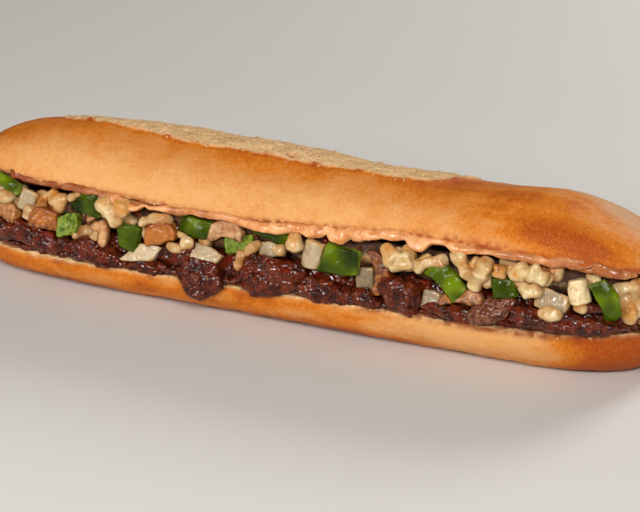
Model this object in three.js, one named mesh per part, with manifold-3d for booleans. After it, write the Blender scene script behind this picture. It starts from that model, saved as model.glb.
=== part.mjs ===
// A hot submarine sandwich: a long soft roll, cut along its front and opened like a book, filled with
// slices of glazed steak, melted cheese, green pepper, onion and mushroom, with a sauce under the lid.
//
// Millimetres, +Z up. The roll runs along X and its cut side faces -Y.

import * as THREE from "three";
import { mergeVertices } from "three/addons/utils/BufferGeometryUtils.js";
import Module from "manifold-3d";

const wasm = await Module();
wasm.setup();

// Driving dimensions of the roll
const ROLL_LENGTH = 301;
const ROLL_WIDTH = 76;
const CUT_HEIGHT = 17.5; // height of the knife's cut above the table, at mid-length
const CUT_SLOPE = 0.028; // the cut climbs towards +X
const LID_HEIGHT = 26.3; // thickness of the lid over the cut, at mid-length
const LID_SLOPE = -0.045; // the lid gets thinner towards +X
const SHOULDER = 4.8; // but it rose higher past the end of the score
const SHOULDER_X = 108;
const SHOULDER_REACH = 30;
const OPEN_ANGLE = THREE.MathUtils.degToRad(20.9); // how far the filling props the lid open
const HINGE_Y = 31; // the uncut back of the roll, about which the lid opens
const HINGE_RISE = 3.6; // how far the filling stretches the hinge
const HINGE_REACH = 118; // the hinge holds from -REACH to +REACH, and the knife went through both ends
const SOLE_CROP = 3; // how much rounder the crust under the roll would be without the tray it baked on

// Exponents of the rounded outlines: 1 for an ellipse's quarter, lower for a squarer section, and higher
// for blunter ends
const LID_ROUNDNESS = 0.88;
const BASE_ROUNDNESS = 0.82;
const PLAN_BLUNTNESS = 6.5;
const LID_BLUNTNESS = 6;
const LID_BLUNTNESS_LOW = 4.9; // the -X tip slopes down earlier
const BASE_BLUNTNESS = 14;
const BASE_END_ROUNDNESS = 0.4;

// The bloom: the pale strip along the top where the scored crust opened in the oven
const BLOOM_FROM = -116;
const BLOOM_TO = 62;
const BLOOM_CENTRE = -6;
const BLOOM_HALF_WIDTH = 15.5;
const BLOOM_RISE = 1.1;

// Filling
const GAP = 0.35; // clearance between layers that touch
const CLEARANCE = 0.55; // clearance cut round each piece by the next
const STEAK_DEPTH = 10.5; // thickness of the steak bed behind the cut's front edge
const SAUCE_DEPTH = 1.6;
const FILLING_REACH = 139;

const HALF_LENGTH = ROLL_LENGTH / 2;
const HALF_WIDTH = ROLL_WIDTH / 2;

// Plan and profile of the roll

function halfWidth(x) {
  const t = Math.min(Math.abs(x) / HALF_LENGTH, 1);
  return HALF_WIDTH * Math.sqrt(1 - t ** PLAN_BLUNTNESS);
}

function cutHeight(x) {
  return CUT_HEIGHT + CUT_SLOPE * x;
}

// The crown of the lid over the cut falls to nothing at both ends.
function lidHeight(x) {
  const t = Math.min(Math.abs(x) / HALF_LENGTH, 1);
  const shoulder = SHOULDER * Math.exp(-(((x - SHOULDER_X) / SHOULDER_REACH) ** 2));
  const bluntness = x < 0 ? LID_BLUNTNESS_LOW : LID_BLUNTNESS;
  return (LID_HEIGHT + LID_SLOPE * x + shoulder) * Math.sqrt(1 - t ** bluntness);
}

function baseDepth(x) {
  const t = Math.min(Math.abs(x) / HALF_LENGTH, 1);
  return (cutHeight(x) + SOLE_CROP) * (1 - t ** BASE_BLUNTNESS) ** BASE_END_ROUNDNESS;
}

// Soft waves of the crust
function crustWave(x, angle) {
  return 0.5 * Math.sin(x / 17 + 2 * angle) + 0.4 * Math.sin(x / 9.5 - 3 * angle + 1);
}

// The lid's front edge waves up and down, and lifts at the -X tip.
function edgeWave(x) {
  const tip = Math.max(0, (-x - 104) / 30);
  return 1.5 * Math.sin((2 * Math.PI * (x - 15)) / 150) + 4.5 * Math.min(tip, 1.2) ** 1.5;
}

// 1 inside a stretch, 0 outside it, with soft ends
function plateau(value, from, to, soft) {
  const rise = THREE.MathUtils.smoothstep(value, from - soft / 2, from + soft / 2);
  const fall = THREE.MathUtils.smoothstep(value, to - soft / 2, to + soft / 2);
  return rise * (1 - fall);
}

function signedPower(value, exponent) {
  return Math.sign(value) * Math.abs(value) ** exponent;
}

// A point given in the closed lid's own section, turned open about the hinge
function onOpenLid(x, y, z) {
  const dy = y - HINGE_Y;
  return new THREE.Vector3(
    x,
    HINGE_Y + dy * Math.cos(OPEN_ANGLE) + z * Math.sin(OPEN_ANGLE),
    cutHeight(x) + HINGE_RISE - dy * Math.sin(OPEN_ANGLE) + z * Math.cos(OPEN_ANGLE),
  );
}

// Height of the sauce's underside over the table, which is the ceiling of the filling
function fillingCeiling(x, y) {
  const lid = cutHeight(x) + HINGE_RISE + (HINGE_Y - y) * Math.tan(OPEN_ANGLE);
  return lid - (SAUCE_DEPTH + GAP) / Math.cos(OPEN_ANGLE);
}

function steakTop(x, y) {
  const front = cutHeight(x) + STEAK_DEPTH + 0.7 * Math.sin(x / 6) * Math.cos(y / 7);
  const back = THREE.MathUtils.smoothstep(y, -6, 21);
  return THREE.MathUtils.lerp(front, cutHeight(x) + 2.6, back);
}

// Closed solids from rings, and the way between three.js and the boolean library

// Rings of equal length, joined in order and closed by a fan at each end
function loft(rings) {
  const count = rings[0].length;
  const positions = [];
  const index = [];
  rings.forEach((ring) => ring.forEach((p) => positions.push(p.x, p.y, p.z)));
  for (let r = 0; r + 1 < rings.length; r += 1) {
    for (let i = 0; i < count; i += 1) {
      const a = r * count + i;
      const b = r * count + ((i + 1) % count);
      index.push(a, b, b + count, a, b + count, a + count);
    }
  }
  [0, rings.length - 1].forEach((r) => {
    const middle = new THREE.Vector3();
    rings[r].forEach((p) => middle.addScaledVector(p, 1 / count));
    const centre = positions.length / 3;
    positions.push(middle.x, middle.y, middle.z);
    for (let i = 0; i < count; i += 1) {
      const a = r * count + i;
      const b = r * count + ((i + 1) % count);
      index.push(...(r === 0 ? [centre, b, a] : [centre, a, b]));
    }
  });
  const geometry = new THREE.BufferGeometry();
  geometry.setAttribute("position", new THREE.Float32BufferAttribute(positions, 3));
  geometry.setIndex(index);
  return geometry;
}

function toSolid(geometry) {
  const bare = geometry.clone();
  bare.deleteAttribute("normal");
  bare.deleteAttribute("uv");
  const merged = mergeVertices(bare, 1e-3);
  const mesh = { numProp: 3, vertProperties: merged.attributes.position.array };
  let triVerts = new Uint32Array(merged.index.array);
  let solid = new wasm.Manifold(new wasm.Mesh({ ...mesh, triVerts }));
  if (solid.volume() < 0) {
    triVerts = triVerts.map((_, i) => merged.index.array[i - (i % 3) + (2 - (i % 3))]);
    solid = new wasm.Manifold(new wasm.Mesh({ ...mesh, triVerts }));
  }
  return solid;
}

function toGeometry(solid) {
  const { vertProperties, triVerts } = solid.getMesh();
  const geometry = new THREE.BufferGeometry();
  geometry.setAttribute("position", new THREE.Float32BufferAttribute(vertProperties, 3));
  geometry.setIndex(new THREE.BufferAttribute(triVerts, 1));
  return geometry;
}

const SHARPEST = 0.4; // limits how far a sharp corner moves

// The same solid with every corner moved out far enough for each of its faces to move out by the distance
function grown(solid, distance) {
  const geometry = toGeometry(solid);
  const { position } = geometry.attributes;
  const corners = geometry.index.array;
  const normals = Array.from({ length: position.count }, () => []);
  const corner = (i) => new THREE.Vector3().fromBufferAttribute(position, i);
  for (let i = 0; i < corners.length; i += 3) {
    const [a, b, c] = [corners[i], corners[i + 1], corners[i + 2]];
    const face = new THREE.Triangle(corner(a), corner(b), corner(c)).getNormal(new THREE.Vector3());
    [a, b, c].forEach((k) => normals[k].push(face));
  }
  normals.forEach((faces, i) => {
    const out = faces.reduce((sum, face) => sum.add(face), new THREE.Vector3()).normalize();
    const least = Math.min(...faces.map((face) => face.dot(out)));
    const moved = corner(i).addScaledVector(out, distance / Math.max(least, SHARPEST));
    position.setXYZ(i, moved.x, moved.y, moved.z);
  });
  return toSolid(geometry);
}

function largestBody(solid) {
  return solid.decompose().reduce((best, body) => (body.volume() > best.volume() ? body : best));
}

function boxesMeet(a, b) {
  const p = a.boundingBox();
  const q = b.boundingBox();
  return [0, 1, 2].every((k) => p.min[k] < q.max[k] && q.min[k] < p.max[k]);
}

// Stations along X, closer together where the ends round off
function stations(reach, count) {
  return Array.from({ length: count + 1 }, (_, i) => {
    const s = (2 * i) / count - 1;
    return reach * Math.sign(s) * (1 - (1 - Math.abs(s)) ** 1.7);
  });
}

// The roll

const LID_POINTS = 22;
const BASE_POINTS = 14;
const TIP = 0.997; // the end sections stop just short of the tip

function lidSection(x) {
  const w = halfWidth(x);
  const inBloom = plateau(x, BLOOM_FROM, BLOOM_TO, 14);
  return Array.from({ length: LID_POINTS + 1 }, (_, i) => {
    const angle = (Math.PI * i) / LID_POINTS;
    const side = Math.cos(angle);
    const up = Math.sin(angle);
    const y = -w * signedPower(side, LID_ROUNDNESS);
    const swell = plateau(y, BLOOM_CENTRE - BLOOM_HALF_WIDTH, BLOOM_CENTRE + BLOOM_HALF_WIDTH, 5);
    const crown = lidHeight(x) * up ** LID_ROUNDNESS;
    const z = crown + crustWave(x, angle) * up + BLOOM_RISE * swell * inBloom;
    return onOpenLid(x, y, z + edgeWave(x) * Math.max(side, 0) ** 3);
  });
}

function baseSection(x) {
  const w = halfWidth(x);
  return Array.from({ length: BASE_POINTS + 1 }, (_, i) => {
    const angle = (Math.PI * i) / BASE_POINTS;
    const y = -w * signedPower(Math.cos(angle), BASE_ROUNDNESS);
    const z = cutHeight(x) - baseDepth(x) * Math.sin(angle) ** BASE_ROUNDNESS;
    return new THREE.Vector3(x, y, Math.max(z, 0));
  });
}

// The back of the roll that the knife left whole, folded between lid and base
function hingeSection(x) {
  const w = halfWidth(x);
  const cut = cutHeight(x);
  return [
    new THREE.Vector3(x, w - 15, cut + 3),
    new THREE.Vector3(x, w - 14, cut - 3),
    new THREE.Vector3(x, w - 1.5, cut - 5),
    new THREE.Vector3(x, w - 1.2, cut + 0.6),
    onOpenLid(x, w - 1.6, 5),
    onOpenLid(x, w - 14, 4),
  ];
}

function rollSolid() {
  const along = stations(HALF_LENGTH * TIP, 32);
  const lid = toSolid(loft(along.map(lidSection)));
  const base = toSolid(loft(along.map(baseSection)));
  const hinge = toSolid(loft(stations(HINGE_REACH, 16).map(hingeSection)));
  return largestBody(lid.add(base).add(hinge));
}

// Layers that run through the sandwich

// The sauce was spread thickly in two places, and runs down there in drips.
function drip(x) {
  const thick = Math.exp(-(((x + 64) / 24) ** 2)) + 1.2 * Math.exp(-(((x - 18) / 34) ** 2));
  const runs = 1.1 + 1.1 * Math.sin(x / 3.9) + 0.8 * Math.sin(x / 2.3 + 2);
  return thick * Math.max(0, runs);
}

function sauceSection(x) {
  const w = halfWidth(x);
  const wave = edgeWave(x);
  const hang = drip(x);
  const inner = w - 17;
  return [
    onOpenLid(x, -w + 1.5, wave - GAP),
    onOpenLid(x, -w - 0.3 - 0.2 * hang, wave - 0.9),
    onOpenLid(x, -w + 0.1, wave - 1.5 - 0.5 * hang),
    onOpenLid(x, -w + 2.6, wave - 1.6 - hang),
    onOpenLid(x, -w + 9, 0.3 * wave - SAUCE_DEPTH),
    onOpenLid(x, inner, -SAUCE_DEPTH),
    onOpenLid(x, inner, -GAP),
    onOpenLid(x, -w + 16, -GAP),
  ];
}

function steakBedSection(x) {
  const w = halfWidth(x);
  const floor = cutHeight(x) + GAP;
  const lean = 1.2 * Math.sin(x / 7.5);
  const top = (y) => new THREE.Vector3(x, y, steakTop(x, y));
  return [
    new THREE.Vector3(x, -w + 4 + lean, floor),
    new THREE.Vector3(x, -w + 4.5 + lean, floor + 4),
    top(-w + 8 + lean),
    top(-w + 20),
    top(-4),
    top(8),
    top(w - 17),
    new THREE.Vector3(x, w - 17, floor),
  ];
}

function cheeseCoreSection(x) {
  const w = halfWidth(x);
  const lean = 1.1 * Math.sin(x / 6.3 + 1);
  const floor = (y) => new THREE.Vector3(x, y, steakTop(x, y) + GAP);
  const ceiling = (y) => new THREE.Vector3(x, y, fillingCeiling(x, y) - GAP - 0.4);
  const front = -w + 8.5 + lean;
  const middle = (steakTop(x, front) + fillingCeiling(x, front)) / 2;
  return [
    floor(front + 1),
    new THREE.Vector3(x, front - 1.5, middle),
    ceiling(front + 2.5),
    ceiling(-8),
    ceiling(w - 18),
    floor(w - 18),
    floor(8),
    floor(-4),
    floor(-w + 20),
  ];
}

function layerSolid(section, reach, count) {
  return toSolid(loft(stations(reach, count).map(section)));
}

// Pieces, each made round its own centre: width along X, height along Z, its shown face towards -Y

// A torn slice: ragged round its edge and wrinkled on its face, which may curl along its length
function tornSlice({ width, height, depth, curl = 0, seed = 0 }) {
  const AROUND = 13;
  const ROWS = 7;
  const geometry = new THREE.SphereGeometry(1, AROUND, ROWS);
  geometry.rotateX(Math.PI / 2); // the poles look forwards and back
  const { position } = geometry.attributes;
  const p = new THREE.Vector3();
  for (let i = 0; i < position.count; i += 1) {
    p.fromBufferAttribute(position, i);
    const angle = Math.atan2(p.z, p.x);
    const rim = Math.hypot(p.x, p.z);
    const ragged =
      1 +
      0.09 * Math.sin(3 * angle + seed) +
      0.07 * Math.sin(5 * angle - 2 * seed);
    const spread = rim ** 0.75 * ragged;
    const wrinkle = 0.11 * Math.sin(4 * p.x + 3 * p.z + seed) + 0.08 * Math.sin(6 * p.z - 5 * p.x);
    position.setXYZ(
      i,
      (width / 2) * Math.cos(angle) * spread,
      (depth / 2) * (signedPower(p.y, 0.75) + wrinkle * (1 - rim ** 4)) + curl * (p.x ** 2 - 0.4),
      (height / 2) * Math.sin(angle) * spread,
    );
  }
  return geometry;
}

// A diced square of a curved wall, such as pepper or onion: a positive bow stands out in the middle,
// and an arch lifts the middle along the height.
function dice({ width, height, thick, bow = 1, skew = 0, arch = 0, across = 4, up = 2 }) {
  const geometry = new THREE.BoxGeometry(width, thick, height, across, 1, up);
  const { position } = geometry.attributes;
  for (let i = 0; i < position.count; i += 1) {
    const u = position.getX(i) / (width / 2);
    const v = position.getZ(i) / (height / 2);
    position.setX(i, position.getX(i) * (1 - 0.07 * v * skew) + skew * v);
    position.setY(i, position.getY(i) - bow * (1 - u * u) + 0.25 * bow * v * v);
    position.setZ(i, position.getZ(i) * (1 - 0.06 * u * skew) + arch * (0.5 - u * u));
  }
  return geometry;
}

// A slice or a wedge of a mushroom's cap: round skin along the top, and below it the gills, cut flat
// or hollow
function mushroomSlice({ width, height, thick, hollow = 0, square = 0.8 }) {
  const ARC = 8;
  const outline = new THREE.Shape();
  outline.moveTo(-width / 2, -height / 2);
  outline.quadraticCurveTo(0, (2 * hollow - 0.5) * height, width / 2, -height / 2);
  for (let i = 0; i < ARC; i += 1) {
    const angle = (Math.PI * (i + 0.5)) / ARC;
    const x = (width / 2) * signedPower(Math.cos(angle), square) * 1.04;
    outline.lineTo(x, height * (Math.sin(angle) ** square - 0.5));
  }
  const options = { depth: thick, bevelEnabled: false, curveSegments: 4 };
  const geometry = new THREE.ExtrudeGeometry(outline, options);
  return geometry.translate(0, 0, -thick / 2).rotateX(Math.PI / 2);
}

function stemPiece({ width, height }) {
  return new THREE.CylinderGeometry(width * 0.42, width / 2, height, 10).rotateX(Math.PI / 2);
}

// A shred of melted cheese: a short round strand that sags in the middle
function shred({ length, radius, sag = 1, seed = 0 }) {
  const SIDES = 6;
  const rings = [-1, -0.9, -0.4, 0.3, 0.88, 1].map((s) => {
    const swell = Math.sqrt(Math.max(1 - Math.abs(s) ** 4, 0.03));
    const r = radius * swell * (1 + 0.14 * Math.sin(2.4 * s + seed));
    return Array.from({ length: SIDES }, (_, i) => {
      const angle = (2 * Math.PI * i) / SIDES;
      const droop = sag * (s * s - 0.5);
      return new THREE.Vector3((s * length) / 2, r * Math.cos(angle), r * Math.sin(angle) + droop);
    });
  });
  return loft(rings);
}

// Sets a piece in the sandwich: spin turns it in its own face, lean tips its face up, turn swings it about Z.
function setPiece(geometry, [x, y, z], { spin = 0, lean = 0, turn = 0 }) {
  const degrees = THREE.MathUtils.degToRad;
  return toSolid(
    geometry
      .clone()
      .rotateY(degrees(spin))
      .rotateX(degrees(-lean))
      .rotateZ(degrees(turn))
      .translate(x, y, z),
  );
}

// What lies where. Each row: the piece's centre, its size, and how it is turned.

const PEPPERS = [
  { at: [-122, -27.5, 39.2], width: 13, height: 4.2, thick: 3, bow: 0.8, spin: 12, lean: 24, turn: -14 },
  { at: [-85, -29.5, 37.6], width: 13, height: 8, thick: 3.2, bow: 1.4, arch: 0.8, spin: 6, lean: 10 },
  { at: [-92, -32.5, 28], width: 9, height: 8, thick: 4, bow: -0.8, spin: -18, lean: 24, skew: 0.8 },
  { at: [-65, -33, 28], width: 8.5, height: 9, thick: 3.4, bow: 0.7, spin: 14, lean: 8, turn: 14, skew: -0.8 },
  { at: [-37, -29, 35.6], width: 13.5, height: 6.5, thick: 3.4, bow: 1.6, spin: 4, lean: 12 },
  { at: [-18, -31, 32], width: 11, height: 6, thick: 3.6, bow: -0.9, spin: -14, lean: 35 },
  { at: [-5, -29, 39.4], width: 15.5, height: 7, thick: 3.4, bow: 1.5, arch: 0.8, spin: 16, lean: 4 },
  { at: [25, -33, 34.2], width: 14.4, height: 10.8, thick: 3.6, bow: 1.6, spin: 3, lean: 6, skew: 0.9 },
  { at: [68.3, -33, 34], width: 15.5, height: 7.4, thick: 3.4, bow: 1.8, arch: 1.7, spin: 36, lean: 14 },
  { at: [91.3, -33, 35], width: 9, height: 6.8, thick: 5, bow: 1.1, spin: -6, lean: 20, turn: 12 },
  { at: [129.5, -29, 35], width: 15.5, height: 6.4, thick: 3.2, bow: 1.6, arch: 1.5, spin: 64, lean: 2, turn: 24 },
  { at: [142, -12, 34.5], width: 11, height: 8, thick: 3.4, bow: 1.3, spin: 20, lean: 10, turn: 70 },
];

const ONIONS = [
  { at: [-111, -31, 34.5], width: 6, height: 8.5, thick: 2.4, bow: 0.5, spin: 16, lean: 16 },
  { at: [-125, -27, 33.4], width: 9.5, height: 6.5, thick: 2.4, bow: 0.9, spin: -8, lean: 14, turn: -30 },
  { at: [-58.6, -34.6, 22.6], width: 12.5, height: 6.5, thick: 2.2, bow: 0.7, spin: -6, lean: 34, skew: 1.8 },
  { at: [-32.5, -33.4, 26.3], width: 13.5, height: 6, thick: 2.2, bow: 0.9, spin: 12, lean: 40, skew: 1 },
  { at: [-4.5, -30.6, 32.3], width: 10.5, height: 5, thick: 2.2, bow: 0.8, spin: -5, lean: 24 },
  { at: [13.2, -31.6, 33.8], width: 7.6, height: 10.6, thick: 3.4, bow: 0.8, spin: 12, lean: 8 },
  { at: [34.3, -30.6, 27.3], width: 6.5, height: 8, thick: 2.6, bow: 0.6, spin: -10, lean: 12 },
  { at: [62.6, -34, 24.6], width: 6.6, height: 7, thick: 3, bow: 0.4, spin: 5, lean: 14 },
  { at: [109.5, -32, 32], width: 12, height: 7.4, thick: 3, bow: 1.1, spin: 10, lean: 26 },
  { at: [-139, -12, 29], width: 10, height: 6.5, thick: 2.4, bow: 0.8, spin: -10, lean: 16, turn: -66 },
];

const MUSHROOMS = [
  { at: [-120.5, -29.5, 28.6], width: 11, height: 7, thick: 5, spin: 8, lean: 16, turn: -16 },
  { at: [-102, -32.3, 29.4], width: 11, height: 8, thick: 6, square: 0.5, spin: 12, lean: 10, turn: 12 },
  { at: [-80.5, -28.8, 33], width: 9.5, height: 6.5, thick: 4, hollow: 0.3, spin: -20, lean: 12 },
  { at: [-77, -33.4, 27], width: 7, height: 10, thick: 3.4, square: 1.4, spin: 158, lean: 12 },
  { at: [-51.5, -31.8, 31.6], width: 12.6, height: 8, thick: 6, square: 0.6, spin: -18, lean: 8 },
  { at: [-24, -30.6, 37], width: 14, height: 8.5, thick: 4.4, hollow: 0.25, spin: -12, lean: 14 },
  { at: [41.2, -32.4, 31.3], width: 17, height: 10, thick: 4.4, hollow: 0.4, spin: 82, lean: 10 },
  { at: [74.6, -33.6, 27.6], width: 17, height: 6.8, thick: 4, hollow: 0.2, spin: -8, lean: 34 },
];

const STEM = { at: [119.2, -31, 37.6], width: 7.6, height: 9, spin: -14, lean: 12, turn: 10 };

const STEAKS = [
  { at: [-118, -30.5, 22.1], width: 26, height: 11.7, depth: 8, curl: 2, spin: 6, lean: 24, turn: -16, seed: 1 },
  { at: [-100.5, -34, 20.9], width: 25, height: 10.8, depth: 7.5, curl: 1, spin: 8, lean: 20, seed: 2 },
  { at: [-79.5, -35.2, 19.5], width: 25, height: 10.8, depth: 7.5, curl: 1, spin: 6, lean: 24, seed: 3 },
  { at: [-57, -35.4, 17.3], width: 22, height: 7.7, depth: 7, curl: 0.6, spin: 4, lean: 20, seed: 4 },
  { at: [-40.5, -33.6, 25.4], width: 15, height: 12.6, depth: 6.5, curl: 0.8, spin: -14, lean: 22, seed: 5 },
  { at: [-32.5, -38, 18.9], width: 22, height: 16.2, depth: 5.5, curl: 1.2, spin: 24, lean: 22, seed: 6 },
  { at: [-3.6, -35.6, 23.5], width: 32, height: 16.2, depth: 9.5, curl: 1.5, spin: -6, lean: 16, seed: 7 },
  { at: [18.5, -35.6, 21.2], width: 30, height: 9.5, depth: 7.5, curl: 1, spin: 4, lean: 22, seed: 8 },
  { at: [36, -35.4, 21.3], width: 15, height: 8.1, depth: 7, curl: 0.5, spin: 10, lean: 22, seed: 9 },
  { at: [50.8, -35.2, 25.3], width: 20, height: 13, depth: 8.5, curl: 1.2, spin: 24, lean: 14, seed: 10 },
  { at: [71, -36.2, 22.5], width: 22, height: 6.8, depth: 6.5, curl: 0.5, spin: 4, lean: 18, seed: 11 },
  { at: [87.5, -37.2, 26.3], width: 21, height: 9, depth: 6, curl: 1.4, spin: -28, lean: 26, seed: 12 },
  { at: [112, -33.6, 25.5], width: 52, height: 9, depth: 7.5, curl: 3.4, spin: 2, lean: 22, turn: 6, seed: 13 },
  { at: [122.5, -31.4, 32.3], width: 12, height: 4.5, depth: 5, curl: 0.4, spin: 4, lean: 10, seed: 14 },
];

// Shreds of cheese that show on the front of the melted mass; the angle runs in the face, up to the right
const SHREDS = [
  { at: [-118.5, -30.5, 35.4], length: 13, radius: 2.6, spin: -60 },
  { at: [-104, -31.5, 36.4], length: 9, radius: 2.6, spin: -76 },
  { at: [-99, -31.5, 38], length: 9, radius: 2.7, spin: 70 },
  { at: [-95, -31.5, 36.2], length: 9, radius: 2.9, spin: -30 },
  { at: [-110.4, -31.5, 29.4], length: 6.5, radius: 2.4, spin: -70 },
  { at: [-86.6, -32, 25], length: 9, radius: 2.1, spin: -12 },
  { at: [-75.5, -31.5, 37.8], length: 11, radius: 3.4, spin: 40 },
  { at: [-70, -31.5, 36], length: 11, radius: 3.4, spin: -66 },
  { at: [-59.2, -31, 31.4], length: 10, radius: 2, spin: 76 },
  { at: [-53.5, -30.5, 37.4], length: 10.5, radius: 2.2, spin: -12 },
  { at: [-41.6, -31.5, 31.6], length: 6, radius: 2.8, spin: 8 },
  { at: [-30, -32, 32.2], length: 6.5, radius: 2.7, spin: -50 },
  { at: [-15, -32, 29.4], length: 13, radius: 2.2, spin: -40, sag: -3 },
  { at: [5.2, -32, 37], length: 7, radius: 3, spin: 80 },
  { at: [45.5, -31.5, 38.4], length: 11, radius: 3.8, spin: -30 },
  { at: [50, -31.5, 39], length: 11, radius: 3.4, spin: 24 },
  { at: [57.6, -31, 38.6], length: 10, radius: 2.8, spin: -38 },
  { at: [73.6, -31, 41.6], length: 11, radius: 2.5, spin: 50 },
  { at: [79, -31.5, 39], length: 11, radius: 3.8, spin: -72 },
  { at: [83, -31.5, 37.4], length: 10, radius: 3.4, spin: 76 },
  { at: [89.5, -31.5, 41], length: 7, radius: 2.8, spin: 10 },
  { at: [98, -31.5, 42.4], length: 14, radius: 2.8, spin: -6 },
  { at: [104, -31.5, 40.6], length: 10, radius: 3.1, spin: 6 },
  { at: [100.4, -31.5, 36.2], length: 8, radius: 3, spin: -20 },
  { at: [112.4, -31, 40], length: 9, radius: 2.3, spin: 60 },
  { at: [124.5, -30, 43], length: 8, radius: 2.5, spin: -40 },
  { at: [137, -24.5, 37.4], length: 15, radius: 3.1, spin: 70, turn: 30 },
  { at: [141, -19, 40], length: 13, radius: 2.9, spin: 74, turn: 50 },
  { at: [144, -2, 32], length: 12, radius: 3, spin: 10, turn: 80 },
  { at: [-138.5, -18.5, 31], length: 12, radius: 3, spin: 40, turn: -55 },
  { at: [-141, -3, 26], length: 11, radius: 2.8, spin: 6, turn: -84 },
];

// Colours
const CRUST = new THREE.MeshStandardMaterial({ color: 0xdf9a52, roughness: 0.62, metalness: 0 });
const SAUCE = new THREE.MeshStandardMaterial({ color: 0xc98a6a, roughness: 0.3, metalness: 0 });
const STEAK = new THREE.MeshStandardMaterial({ color: 0x4a1f14, roughness: 0.28, metalness: 0 });
const CHEESE = new THREE.MeshStandardMaterial({ color: 0xecdcae, roughness: 0.38, metalness: 0 });
const PEPPER = new THREE.MeshStandardMaterial({ color: 0x3a6b12, roughness: 0.25, metalness: 0 });
const ONION = new THREE.MeshStandardMaterial({ color: 0xd6cdb4, roughness: 0.25, metalness: 0 });
const MUSHROOM = new THREE.MeshStandardMaterial({ color: 0xb5804c, roughness: 0.4, metalness: 0 });

// The sandwich: each piece is cut back from those already there, so that nothing overlaps.

const sandwich = new THREE.Group();
const placed = [];

// How far simplifying may move the surface of a piece, of a layer, and of the clearance round either
const PIECE_TOLERANCE = 0.1;
const LAYER_TOLERANCE = 0.2;
const CLEARANCE_TOLERANCE = 0.12;

// The same surface with fewer triangles, and as one body
function tidied(solid, tolerance) {
  const fresh = toSolid(toGeometry(largestBody(solid)));
  return largestBody(toSolid(toGeometry(largestBody(fresh.simplify(tolerance)))));
}

function add(name, material, solid, tolerance = PIECE_TOLERANCE) {
  const neighbours = placed.filter((other) => boxesMeet(other, solid));
  const cut = tidied(solid.subtract(wasm.Manifold.union(neighbours)), tolerance);
  const mesh = new THREE.Mesh(toGeometry(cut), material);
  mesh.name = name;
  sandwich.add(mesh);
  placed.push(tidied(cut.add(grown(cut, CLEARANCE)), CLEARANCE_TOLERANCE));
}

function addPieces(stem, material, rows, shape) {
  rows.forEach((row, i) => {
    add(`${stem}_${i + 1}`, material, setPiece(shape(row), row.at, row));
  });
}

add("roll", CRUST, rollSolid());
addPieces("pepper", PEPPER, PEPPERS, dice);
addPieces("onion", ONION, ONIONS, dice);
addPieces("mushroom", MUSHROOM, MUSHROOMS, mushroomSlice);
add("mushroom_stem", MUSHROOM, setPiece(stemPiece(STEM), STEM.at, STEM));
addPieces("steak", STEAK, STEAKS, tornSlice);
add("steak_bed", STEAK, layerSolid(steakBedSection, FILLING_REACH, 30), LAYER_TOLERANCE);

const cheese = SHREDS.reduce(
  (mass, row) => mass.add(setPiece(shred(row), row.at, row)),
  layerSolid(cheeseCoreSection, FILLING_REACH, 26),
);
add("cheese", CHEESE, cheese, LAYER_TOLERANCE);
add("sauce", SAUCE, layerSolid(sauceSection, FILLING_REACH, 60), LAYER_TOLERANCE);

// The origin goes under the middle of the whole sandwich, filling included.
const box = new THREE.Box3().setFromObject(sandwich);
const middle = box.getCenter(new THREE.Vector3());
sandwich.children.forEach((mesh) => mesh.geometry.translate(-middle.x, -middle.y, -box.min.z));

export default sandwich;
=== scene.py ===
"""A hot submarine sandwich: baked roll, melted cheese, glazed steak, vegetables and sauce."""

import itertools
import math

import bmesh
import bpy
import numpy as np
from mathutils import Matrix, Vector
from mathutils.bvhtree import BVHTree


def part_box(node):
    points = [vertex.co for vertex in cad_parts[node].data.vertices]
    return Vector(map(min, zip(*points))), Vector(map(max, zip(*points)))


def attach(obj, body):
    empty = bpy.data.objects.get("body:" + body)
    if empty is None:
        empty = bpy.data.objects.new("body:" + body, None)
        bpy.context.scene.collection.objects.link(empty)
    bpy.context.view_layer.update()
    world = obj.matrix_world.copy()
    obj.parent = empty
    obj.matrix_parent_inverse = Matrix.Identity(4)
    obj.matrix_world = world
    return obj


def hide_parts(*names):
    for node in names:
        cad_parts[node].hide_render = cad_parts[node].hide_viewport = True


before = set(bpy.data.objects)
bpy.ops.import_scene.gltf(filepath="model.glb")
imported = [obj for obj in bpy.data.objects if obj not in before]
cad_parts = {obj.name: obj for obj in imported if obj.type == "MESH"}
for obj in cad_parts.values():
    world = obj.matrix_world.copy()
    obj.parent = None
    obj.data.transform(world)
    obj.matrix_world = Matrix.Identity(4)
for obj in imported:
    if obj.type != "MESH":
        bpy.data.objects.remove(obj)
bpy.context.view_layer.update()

bl_info = {
    "name": "Submarine Sandwich",
    "version": (1, 0, 0),
    "blender": (4, 5, 0),
    "location": "View3D > Sidebar > Sandwich",
    "description": "Dresses a submarine sandwich with its crust, cheese, steak, vegetables and sauce",
    "category": "Add Mesh",
}

MM = 0.001  # the frame is in metres, and the sandwich's own sizes are in millimetres

# The roll, in millimetres, as the solids are drawn
HALF_LENGTH = 150.5
HALF_WIDTH = 38.0
SHIFT_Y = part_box("roll")[0].y / MM + HALF_WIDTH  # the roll's own middle against the frame's
CUT_HEIGHT = 17.5
CUT_SLOPE = 0.028
LID_HEIGHT = 26.3
LID_SLOPE = -0.045
SHOULDER = 4.8
SHOULDER_X = 108.0
SHOULDER_REACH = 30.0
OPEN_ANGLE = math.radians(20.9)
HINGE_Y = 31.0
HINGE_RISE = 3.6
HINGE_REACH = 118.0
SOLE_CROP = 3.0
PLAN_BLUNTNESS = 6.5
LID_BLUNTNESS = 6.0
LID_BLUNTNESS_LOW = 4.9  # the -X tip slopes down earlier
LID_SQUARENESS = 0.88  # of a cross-section, where 1 is an ellipse and less is squarer
BASE_BLUNTNESS = 14
BASE_TIP = 0.4
BASE_SQUARENESS = 0.82
STEAK_DEPTH = 10.5
STEAK_BACK_DEPTH = 2.6
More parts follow.
